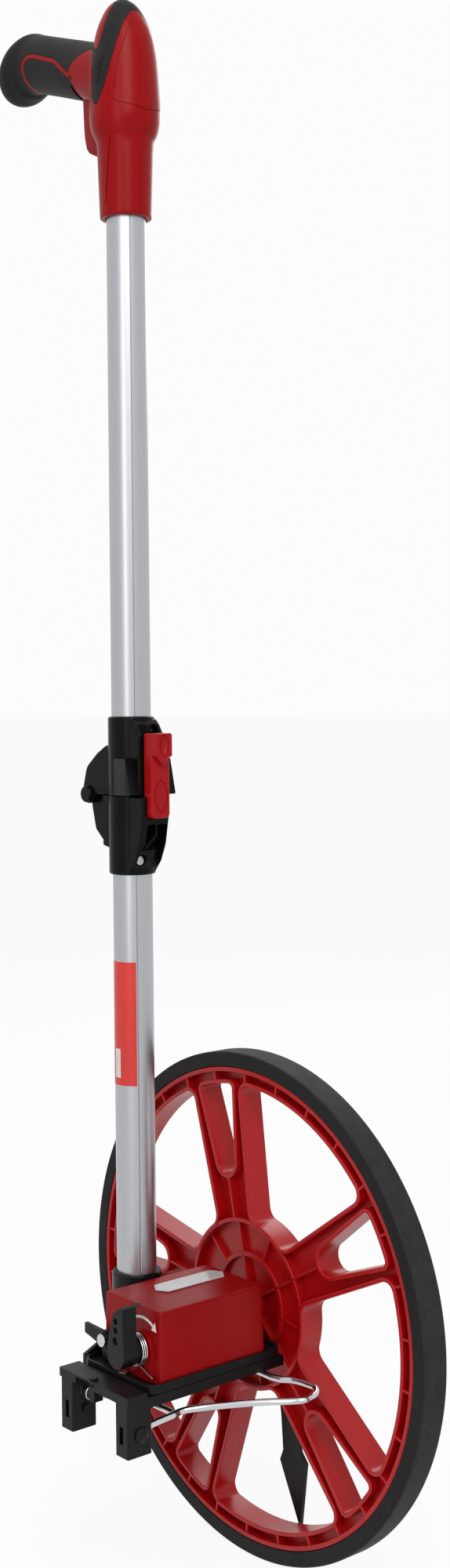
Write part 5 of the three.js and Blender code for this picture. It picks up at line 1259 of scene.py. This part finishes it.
def grip_skin():
    way = Vector((-math.cos(GRIP_TILT), 0, math.sin(GRIP_TILT)))
    down = Vector((-math.sin(GRIP_TILT), 0, -math.cos(GRIP_TILT)))
    flat = [Vector(s[:3]) for s in GRIP_SHARES]
    drops = [Vector((s[0], s[3], 0)) for s in GRIP_SHARES]
    rings = []
    for (along, reach, side), (_, drop, _) in zip(smoothed(flat, CURVE_STEPS), smoothed(drops, CURVE_STEPS)):
        centre = GRIP_ROOT + way * along * GRIP_LENGTH + down * drop * GRIP_RADIUS
        lean = BUTT_LEAN * min(1.0, max(0.0, (along - BUTT_START) / BUTT_RUN))
        rings.append([centre + (down + way * lean) * (reach * GRIP_RADIUS * v)
                      + Vector((0, side * GRIP_SIDE * u, 0)) for u, v in circle(1.0, steps=GRIP_STEPS)])
    return skin(rings)


def handle_skin():
    """Head and grip as one skin, with a smooth fillet where the grip leaves the head."""
    both = linked("both", joined([head_skin(), grip_skin()]))
    remesh = both.modifiers.new("one skin", "REMESH")
    remesh.mode = "VOXEL"
    remesh.voxel_size = VOXEL
    soften = both.modifiers.new("soften", "SMOOTH")
    soften.iterations = SOFTEN_ROUNDS
    both = linked("both", evaluated(both))
    corner = both.vertex_groups.new(name="corner")
    for point in both.data.vertices:
        x, _, z = point.co
        near = min(1.0, max(0.0, (x - POLE_X + FILLET_FAR) / FILLET_FAR_RUN),
                   max(0.0, (POLE_X - FILLET_NEAR - x) / FILLET_NEAR_RUN))
        if near > 0 and z > NECK_TOP + FILLET_ABOVE:
            corner.add([point.index], near, "REPLACE")
    fillet = both.modifiers.new("fillet", "SMOOTH")
    fillet.vertex_group = "corner"
    fillet.iterations = FILLET_ROUNDS
    return evaluated(both)


def moved_out(mesh, distance):
    """A skin moved along its normals."""
    made = mesh.copy()
    normals = [v.normal.copy() for v in made.vertices]
    for point, normal in zip(made.vertices, normals):
        point.co += normal * distance
    return made


def side_view(*shares):
    """Places seen from the side, from shares of the head's radius behind and below its top."""
    return [(POLE_X + u * HEAD_RADIUS, HEAD_TOP - v * HEAD_RADIUS) for u, v in shares]


SLEEVE_OUTLINE = rounded(side_view(
    (-7, -3), (0.4, -3), (0.42, 0.1), (0.52, 0.37), (0.58, 0.72), (0.58, 1.17), (0.52, 1.67), (0.4, 2.27),
    (0.29, 2.7), (0.06, 3.13), (-0.07, 3.14), (-0.24, 2.95), (-0.36, 2.29), (-0.41, 1.6), (-0.6, 1.4),
    (-0.75, 1.29), (-1.18, 1.35), (-1.46, 1.47), (-1.78, 1.74), (-1.68, 2.1), (-1.66, 2.45), (-1.82, 2.85),
    (-2.3, 3.2), (-7, 3.5),
), 6.0, 4)
LENS_INLAY = rounded(side_view(
    (-0.04, 1.54), (0.03, 1.29), (0.09, 1.02), (0.08, 0.48), (0.1, 0.2), (0, 0.16), (-0.2, 0.2),
    (-0.38, 0.34), (-0.5, 0.5), (-0.55, 0.75), (-0.5, 1.15), (-0.21, 1.51),
), 5.0, 4)
INLAY_LINE = smoothed(side_view(
    (-1.6, 1.95), (-2.2, 1.4), (-2.42, 1.22), (-2.75, 1.08), (-3.55, 0.76), (-3.9, 0.76), (-4.1, 1.0),
    (-4.16, 1.35), (-4.1, 1.75),
), 5)
INLAY_LINE_HALF = 1.3
WEB_OUTLINE = rounded(side_view(
    (-1.83, 2.06), (-1.77, 3.2), (-1.74, 3.52), (-1.65, 3.86), (-1.52, 4.02), (-1.08, 4.24), (-0.3, 4.24),
    (-0.3, 2),
), 3.0, 3)
WEB_HALF = 4
WEB_EDGE_RADIUS = 1.0
EGG_SHARES = [(0, 0.74), (0.28, 0.86), (0.47, 1.25), (0.67, 1.86), (0.77, 2.4), (0.85, 3.1), (0.74, 3.2),
              (0, 3.36)]
PAST_HEAD = 29
COVER_START = 3
COVER_OUT = 0.4
COVER_IN = -0.9
COVER_GAP = 0.12
COVER_SEAT = 6
NECK_IN = -1.4
# Turn, height and radius where the neck's ridge starts, and how far each runs
RIDGE_START = (-67, 746, 18.9)
RIDGE_RUN = (-20, -48, -2.0)
RIDGE_STEPS = 8
RIDGE_RADIUS = 0.45
RIDGE_SIDES = 8
HANDLE_SHARP = 40
EGG_CORNER = 5.0
# An outline moved sideways goes out at a sharp turn as if the turn were no sharper than this cosine
SHARPEST_TURN = 0.6


def moved_sideways(outline, distance):
    """An outline moved outwards by a distance, whichever way it runs."""
    area = sum(a[0] * b[1] - b[0] * a[1] for a, b in zip(outline, outline[1:] + outline[:1]))
    turn = 1 if area > 0 else -1
    made = []
    count = len(outline)
    for i in range(count):
        before, here, after = (Vector(outline[(i + k) % count]) for k in (-1, 0, 1))
        first, second = (here - before).normalized(), (after - here).normalized()
        along = (first + second).normalized()
        stretch = 1 / max(SHARPEST_TURN, along.dot(first))
        made.append(tuple(here + Vector((along.y, -along.x)) * turn * distance * stretch))
    return made


def across_handle(outline, grow=0.0):
    outline = moved_sideways(outline, grow) if grow else outline
    return about_pole(outline, PAST_HEAD)


def egg_plate(grow, start):
    """The front cover's outline as a plate from start to past the head's front."""
    half = [(u * HEAD_RADIUS, v) for u, v in EGG_SHARES]
    both = half + [(-u, v) for u, v in half[1:-1][::-1]]
    outline = [(POLE_Y + u, HEAD_TOP - v * HEAD_RADIUS) for u, v in both]
    outline = rounded(moved_sideways(outline, grow), EGG_CORNER, CORNER_STEPS)
    return before_pole([outline], start, PAST_HEAD)


def head_cover():
    """The egg-shaped cover on the front of the head, a thin shell."""
    outer = cut_with(head_skin(COVER_OUT), egg_plate(0, COVER_START), "INTERSECT")
    return cut_with(outer, head_skin(COVER_IN))


def neck_ridge(side):
    """A fine raised line down the neck."""
    points = []
    for k in range(RIDGE_STEPS + 1):
        turn, z, reach = (a + run * (k / RIDGE_STEPS) for a, run in zip(RIDGE_START, RIDGE_RUN))
        turn = math.radians(turn)
        points.append((POLE_X + reach * math.cos(turn), POLE_Y + side * reach * math.sin(turn), z))
    return wire(points, RIDGE_RADIUS, RIDGE_SIDES, red)


def loose_parts(mesh):
    """The separate bodies of a mesh, the one with most points first."""
    shape = bmesh.new()
    shape.from_mesh(mesh)
    left = set(shape.verts)
    groups = []
    while left:
        start = left.pop()
        group, stack = {start}, [start]
        while stack:
            for edge in stack.pop().link_edges:
                for point in edge.verts:
                    if point in left:
                        left.remove(point)
                        group.add(point)
                        stack.append(point)
        groups.append(group)
    groups.sort(key=len, reverse=True)
    meshes = []
    for group in groups:
        index = {point: i for i, point in enumerate(group)}
        faces = [[index[v] for v in face.verts] for face in shape.faces if face.verts[0] in index]
        meshes.append(mesh_from([point.co for point in group], [], faces))
    shape.free()
    return meshes


CHEVRONS = 4
CHEVRON_LOW = 57.5
CHEVRON_BACK = 0.6
CHEVRON_STEP = (0.5, 4.2)
CHEVRON_OUTLINE = [(-3.4, 3.2), (0, 0), (3.4, 3.2), (3.4, 4.6), (0, 1.4), (-3.4, 4.6)]
CHEVRON_HEIGHT = 0.35


def chevrons():
    """Small V-shaped ribs one above the other on the sleeve's strip, on both sides."""
    marks = []
    for i in range(CHEVRONS):
        middle = POLE_X - CHEVRON_BACK + CHEVRON_STEP[0] * i
        low = HEAD_TOP - CHEVRON_LOW + CHEVRON_STEP[1] * i
        marks.append(across_handle([(middle + u, low + rise) for u, rise in CHEVRON_OUTLINE]))
    return cut_with(moved_out(whole, CHEVRON_HEIGHT), joined(marks), "INTERSECT")


whole = handle_skin()
inlay_band = beside(INLAY_LINE, INLAY_LINE_HALF)
bare = cut_with(whole.copy(), across_handle(SLEEVE_OUTLINE, GAP))
red_parts = [moved_out(whole, -SLEEVE - GAP), cut_with(bare, egg_plate(COVER_GAP, COVER_SEAT))]
for outline in (LENS_INLAY, inlay_band):
    red_parts.append(cut_with(whole.copy(), across_handle(outline), "INTERSECT"))
red_parts += [head_skin(NECK_IN), about_pole(WEB_OUTLINE, WEB_HALF, WEB_EDGE_RADIUS)]
red_parts += [neck_ridge(side) for side in (1, -1)]
soft = cut_with(whole.copy(), across_handle(SLEEVE_OUTLINE), "INTERSECT")
soft = cut_with(soft, moved_out(whole, -SLEEVE))
for outline in (LENS_INLAY, inlay_band, WEB_OUTLINE):
    soft = cut_with(soft, across_handle(outline, GAP))
sleeve, pad, *scraps = loose_parts(cleaned(soft, turn_out=False))
for name, mesh, finish, node in (
    ("handle_core_moulding", joined(red_parts), red, "handle_core"),
    ("handle_front_cover", head_cover(), red, "handle_cover"),
    ("handle_soft_sleeve", joined([sleeve, *scraps, chevrons()]), soft_black, "handle_sleeve"),
    ("grip_soft_pad", pad, soft_black, "grip_pad"),
):
    shown(name, mesh, finish, "upper_pole", [node], HANDLE_SHARP, False)

# Springs

PULL_SPRING_X = -6.0
PULL_SPRING_EYE = Vector((PULL_SPRING_X, -125.0, -29.6))
CROSS_ROD_RUN = 28.8
PULL_SPRING_HOOK = Vector((PULL_SPRING_X, STAND_Y + CROSS_ROD_RUN,
                           STAND_Z + STAND_RISE * CROSS_ROD_RUN / STAND_LENGTH))
PULL_SPRING_ROOT = 3.0
EYE_START, EYE_SWEEP, EYE_STEPS = 0.06, 0.82, 20
HOOK_START, HOOK_SWEEP, HOOK_STEPS = 0.42, -0.52, 16
RESET_X = 15.5
RESET_Z = -2.0
TWIST_SPRING_FACE = -102.7 - 1.2 - 3 * GAP
TWIST_SPRING_LEG = (28.6, -16.9)
TWIST_STEPS = 24
LATCH_SPRING_X = POLE_X + FRONT_UPPER_REACH + GAP - LATCH_RIB_DEPTH / 2
LATCH_SPRING_Z = HINGE_Z + TUBE_STOP + LATCH_RIB_LENGTH + 2 * GAP + 0.6
COIL_STEPS = 20
SPRING_SIDES = 12


def coil_points(centre, along, up, side, radius, pitch, turns, start, steps=COIL_STEPS):
    """A coil about a line from centre, its first point at the angle start."""
    made = []
    for i in range(int(turns * steps) + 1):
        angle = start + i * TURN / steps
        made.append(centre + along * (i * pitch / steps) + side * radius * math.cos(angle)
                    + up * radius * math.sin(angle))
    return made


def pull_spring_path():
    wire_radius, coil_radius, pitch, turns = 0.45, 2.2, 1.42, 15
    run = PULL_SPRING_HOOK - PULL_SPRING_EYE
    way, span = run.normalized(), run.length
    up, side = Vector((0, -way.z, way.y)), Vector((1, 0, 0))
    loop, hook = PULL_SPRING_ROOT + wire_radius + GAP, WIRE_RADIUS + GAP + wire_radius

    def ring(middle, radius, start, sweep, steps):
        made = []
        for k in range(steps + 1):
            angle = (start + sweep * k / steps) * TURN
            along, rise = middle + radius * math.cos(angle), radius * math.sin(angle)
            made.append(PULL_SPRING_EYE + way * along + up * rise)
        return made

    first = PULL_SPRING_EYE + way * ((span + loop - hook - pitch * turns) / 2)
    made = ring(0, loop, EYE_START, EYE_SWEEP, EYE_STEPS)
    made += coil_points(first, way, up, side, coil_radius, pitch, turns, -QUARTER)
    return made + ring(span, hook, HOOK_START, HOOK_SWEEP, HOOK_STEPS), wire_radius


def twist_spring_path():
    wire_radius, coil_radius, pitch, turns = 0.5, 9.2, 1.46, 3.25
    leg_x, leg_z = TWIST_SPRING_LEG
    leg = Vector((leg_x - RESET_X, leg_z - RESET_Z))
    start = angle_of(leg) - math.acos(coil_radius / leg.length) - turns * TURN
    base = Vector((RESET_X, TWIST_SPRING_FACE - turns * pitch, RESET_Z))
    side, along, up = Matrix.Identity(3)
    made = coil_points(base, along, up, side, coil_radius, pitch, turns, start, TWIST_STEPS)
    return made + [Vector((leg_x, TWIST_SPRING_FACE, leg_z))], wire_radius


def latch_spring_path():
    wire_radius, coil_radius, pitch, turns = 0.3, 2.0, 3.7, 5
    base = Vector((LATCH_SPRING_X, POLE_Y, LATCH_SPRING_Z))
    side, up, along = Matrix.Identity(3)
    return coil_points(base, along, up, side, coil_radius, pitch, turns, 0), wire_radius


def spring(node, path, finish, body):
    points, wire_radius = path
    return shown(node + "_wound", wire(points, wire_radius, SPRING_SIDES, finish), finish, body, [node])


pull_spring = spring("extension_spring", pull_spring_path(), chrome, None)
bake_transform(pull_spring)
spring("torsion_spring", twist_spring_path(), chrome, "carriage")
latch_path = latch_spring_path()
latch_spring = spring("latch_spring", latch_path, dark_steel, "upper_pole")
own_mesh(latch_spring)

# Counter drums with their numerals

DIGIT_HEIGHT = 4.6
DIGIT_SIZE = 1.4
DIGIT_OUT = 0.06
DIGIT_CUTS = [-3 + 0.5 * k for k in range(13)]
DRUM_CORNER = 0.3
DRUM_BORE = 2.3
DRUM_RIM = 5.5
DRUM_WEB_HALF = 1.8
DRUM_STEPS = 64
# Radius and place along the shaft of a drum's half profile
DRUM_PROFILE = [(DRUM_BORE, DRUM_WEB_HALF), (DRUM_RIM, DRUM_WEB_HALF), (DRUM_RIM, DRUM_WIDTH / 2),
                (DRUM_RADIUS, DRUM_WIDTH / 2)]


def numeral(text):
    """A numeral as a thin flat mesh, centred on the origin."""
    letters = bpy.data.curves.new("numeral", "FONT")
    letters.body = text
    letters.size = DIGIT_HEIGHT * DIGIT_SIZE
    letters.align_x = "CENTER"
    letters.align_y = "CENTER"
    letters.resolution_u = 3
    return evaluated(linked("numeral", letters))


def numeral_on_drum(text, middle, angle):
    """A numeral wrapped on a drum's rim at an angle round the counter's shaft."""
    shape = bmesh.new()
    shape.from_mesh(numeral(text))
    for level in DIGIT_CUTS:
        bmesh.ops.bisect_plane(shape, geom=shape.verts[:] + shape.edges[:] + shape.faces[:],
                               plane_co=(0, level, 0), plane_no=(0, 1, 0))
    radius = DRUM_RADIUS + DIGIT_OUT
    for point in shape.verts:
        turn = angle + point.co.y / radius
        point.co = (COUNT_X + radius * math.cos(turn), middle + point.co.x, COUNT_Z + radius * math.sin(turn))
    return mesh_of(shape)


for i in range(5):
    middle = DRUM_FIRST + i * DRUM_PITCH
    profile = [(r, middle - y) for r, y in DRUM_PROFILE] + [(r, middle + y) for r, y in DRUM_PROFILE[::-1]]
    turned = lathe(rounded(profile, DRUM_CORNER, SMALL_CORNER_STEPS), "y", DRUM_STEPS, COUNT_X, COUNT_Z)
    drum = "drum_%d" % (i + 1)
    shown(drum + "_turned", turned, drum_white, drum, [drum])
    digits = joined([numeral_on_drum(str(k), middle, QUARTER + k * TURN / 10) for k in range(10)])
    shown(drum + "_numerals", digits, digit_black, drum, weighted=False)

# Prints and the bare label: degrees round the tube, heights, and how far each stands off the tube

LABEL = (-150, -30, 143.3, 220.9, 0.03)
LABEL_PLATE = (-104, -81, 148.0, 166.2, 0.16)
LABEL_STEPS = 24
LABEL_THICK = 0.12
ARROW_CENTRE = (RESET_X, RESET_Z)
ARROW_RADIUS = 18.0
ARROW_STEPS = 16
ARROW_HALF = 0.75
ARROW_HEAD_HALF = 3
ARROW_START, ARROW_END, ARROW_TIP = (math.radians(turn) for turn in (116, 56, 42))
ARROW_FACES = (-102.25, -101.75)


def wrapped_label(start, end, low, high, out):
    """A thin sheet wrapped on the lower tube."""
    start, end, radius = math.radians(start), math.radians(end), TUBE_RADIUS + out
    inner = arc(POLE_X, POLE_Y, radius, start, end, LABEL_STEPS)
    outer = arc(POLE_X, POLE_Y, radius + LABEL_THICK, end, start, LABEL_STEPS)
    return plate([inner + outer], "z", low, high)


def arc_arrow():
    """An arc with an arrow head round the reset lever's shaft, printed on the housing's face."""
    band = arc(*ARROW_CENTRE, ARROW_RADIUS + ARROW_HALF, ARROW_START, ARROW_END, ARROW_STEPS)
    band += arc(*ARROW_CENTRE, ARROW_RADIUS - ARROW_HALF, ARROW_END, ARROW_START, ARROW_STEPS)
    head = [
        arc(*ARROW_CENTRE, ARROW_RADIUS + out, turn, turn, 1)[0]
        for out, turn in ((ARROW_HEAD_HALF, ARROW_END), (0, ARROW_TIP), (-ARROW_HEAD_HALF, ARROW_END))
    ]
    return joined([plate([outline], "y", *ARROW_FACES) for outline in (band, head)])


shown("tube_label", wrapped_label(*LABEL), label_red, "carriage")
shown("tube_label_plate", wrapped_label(*LABEL_PLATE), label_pale, "carriage")
shown("turn_arrow", arc_arrow(), print_white, "carriage")

# The other pieces keep their own forms, with rounded edges and finer finishes

for node, finish, edge, rounds in (
    ("axle", steel, 0.5, 2), ("wheel_washer", steel, 0.25, 2), ("wheel_nut", steel, 0.6, 2),
    ("pointer_nut", steel, 0.6, 2), ("axle_spacer", steel, 0.4, 2), ("pointer", black, 0.5, 2),
    ("base_frame", black, 0.5, 2), ("tray", black, 0.4, 2), ("tray_screw", steel, 0.3, 2),
    ("counter_housing", red, 0.6, 3), ("window_lens", clear, 0.25, 2), ("axle_bush", brass, 0.3, 2),
    ("axle_bush_front", brass, 0.3, 2), ("counter_chassis", steel, 0.3, 2), ("counter_shaft", steel, 0.3, 2),
    ("drive_gear", brass, 0.1, 1), ("counter_gear", drum_white, 0.1, 1), ("reset_shaft", steel, 0.3, 2),
    ("reset_lever", black, 0.7, 3), ("catch_lever", black, 0.4, 2), ("catch_pin", chrome, 0.4, 2),
    ("stand_cross_rod", chrome, 0.4, 2), ("stand_cap_far", black, 0.3, 2), ("stand_cap_near", black, 0.3, 2),
    ("spring_anchor", black, 0.3, 2), ("pole_screw", steel, 0.4, 2), ("hinge_screw", steel, 0.4, 2),
):
    dressed(node, finish, edge, rounds)

# Floor, light and camera

FLOOR_Z = -TYRE_RADIUS * MM - 0.0004
FLOOR_REACH = 60.0
FLOOR_SHARE = 0.9
FLOOR_COLOUR = (0.98, 0.98, 0.98, 1)
FLOOR_ROUGHNESS = 0.9
WHITE = (1, 1, 1, 1)
BACKGROUND = (0.974, 0.974, 0.974, 1)
DIM_LIGHT = (0.5, 0.5, 0.51, 1)


def direct_look(tree):
    """1 where the camera, a mirror or glass looks, and 0 for the light that falls on the object."""
    rays = tree.nodes.new("ShaderNodeLightPath").outputs
    seen = maths(tree, "MAXIMUM", rays["Is Camera Ray"], rays["Is Glossy Ray"])
    return maths(tree, "MAXIMUM", seen, rays["Is Transmission Ray"])


def blended(tree, share, first, second, leave):
    """Two shaders mixed by a share and led to an output."""
    mix = tree.nodes.new("ShaderNodeMixShader")
    for socket, value in zip(mix.inputs, (share, first.outputs[0], second.outputs[0])):
        tree.links.new(value, socket)
    tree.links.new(mix.outputs[0], leave.inputs["Surface"])


def floor_finish():
    """A pale floor that shows nearly as white as the background and keeps a soft shadow."""
    material, tree, shader = new_material("pale floor")
    shader.inputs["Base Color"].default_value = FLOOR_COLOUR
    shader.inputs["Roughness"].default_value = FLOOR_ROUGHNESS
    bright = tree.nodes.new("ShaderNodeEmission")
    bright.inputs["Color"].default_value = WHITE
    share = times(tree, direct_look(tree), FLOOR_SHARE)
    blended(tree, share, shader, bright, tree.nodes["Material Output"])
    return material


corners = [(x * FLOOR_REACH, y * FLOOR_REACH, FLOOR_Z) for x, y in ((-1, -1), (1, -1), (1, 1), (-1, 1))]
floor_mesh = mesh_from(corners, [], [(0, 1, 2, 3)])
floor_mesh.materials.append(floor_finish())
linked("floor", floor_mesh)


def studio_world():
    """Even grey light from all round; the camera, mirrors and glass see white."""
    world = bpy.data.worlds.new("studio")
    bpy.context.scene.world = world
    world.use_nodes = True
    tree = world.node_tree
    tree.nodes.clear()
    dim, white = tree.nodes.new("ShaderNodeBackground"), tree.nodes.new("ShaderNodeBackground")
    dim.inputs["Color"].default_value = DIM_LIGHT
    white.inputs["Color"].default_value = BACKGROUND
    blended(tree, direct_look(tree), dim, white, tree.nodes.new("ShaderNodeOutputWorld"))


def soft_lamp(name, place, aim, width, height, power):
    lamp = bpy.data.lights.new(name, "AREA")
    lamp.shape = "RECTANGLE"
    lamp.size, lamp.size_y = width, height
    lamp.energy = power
    made = linked(name, lamp)
    made.location = place
    made.rotation_mode = "QUATERNION"
    made.rotation_quaternion = (Vector(aim) - Vector(place)).to_track_quat("-Z", "Y")


studio_world()
soft_lamp("key", (1.6, -1.0, 1.9), (0, -0.09, 0.3), 1.0, 1.6, 26)
soft_lamp("side", (0.9, -1.75, 0.9), (0, -0.09, 0.3), 0.5, 1.8, 8)
soft_lamp("back", (-1.0, 1.6, 1.6), (0, -0.09, 0.4), 1.0, 1.4, 12)

# The photo is 2000 points high; its camera's focal length and centre were fitted in those points
PHOTO_HEIGHT = 2000
FOCAL_POINTS = 2309
CENTRE_ASIDE = 3.5
CENTRE_UP = 1000 - 896.9
SENSOR = 36
CAMERA_PLACE = Vector((0.8822, -0.7804, 0.3829))
CAMERA_WAY = Vector((-0.76761, 0.64092, 0.0))
CAMERA_ROLL = math.radians(-0.6)
lens = bpy.data.cameras.new("photo camera")
lens.sensor_fit = "VERTICAL"
lens.sensor_height = SENSOR
lens.sensor_width = SENSOR
lens.lens = FOCAL_POINTS / PHOTO_HEIGHT * SENSOR
lens.shift_x = -CENTRE_ASIDE / PHOTO_HEIGHT
lens.shift_y = -CENTRE_UP / PHOTO_HEIGHT
lens.clip_start, lens.clip_end = 0.01, 100
camera = linked("photo camera", lens)
camera.matrix_world = (
    Matrix.Translation(CAMERA_PLACE)
    @ CAMERA_WAY.to_track_quat("-Z", "Y").to_matrix().to_4x4()
    @ Matrix.Rotation(CAMERA_ROLL, 4, "Z")
)
bpy.context.scene.camera = camera
bpy.context.scene.view_settings.view_transform = "Standard"
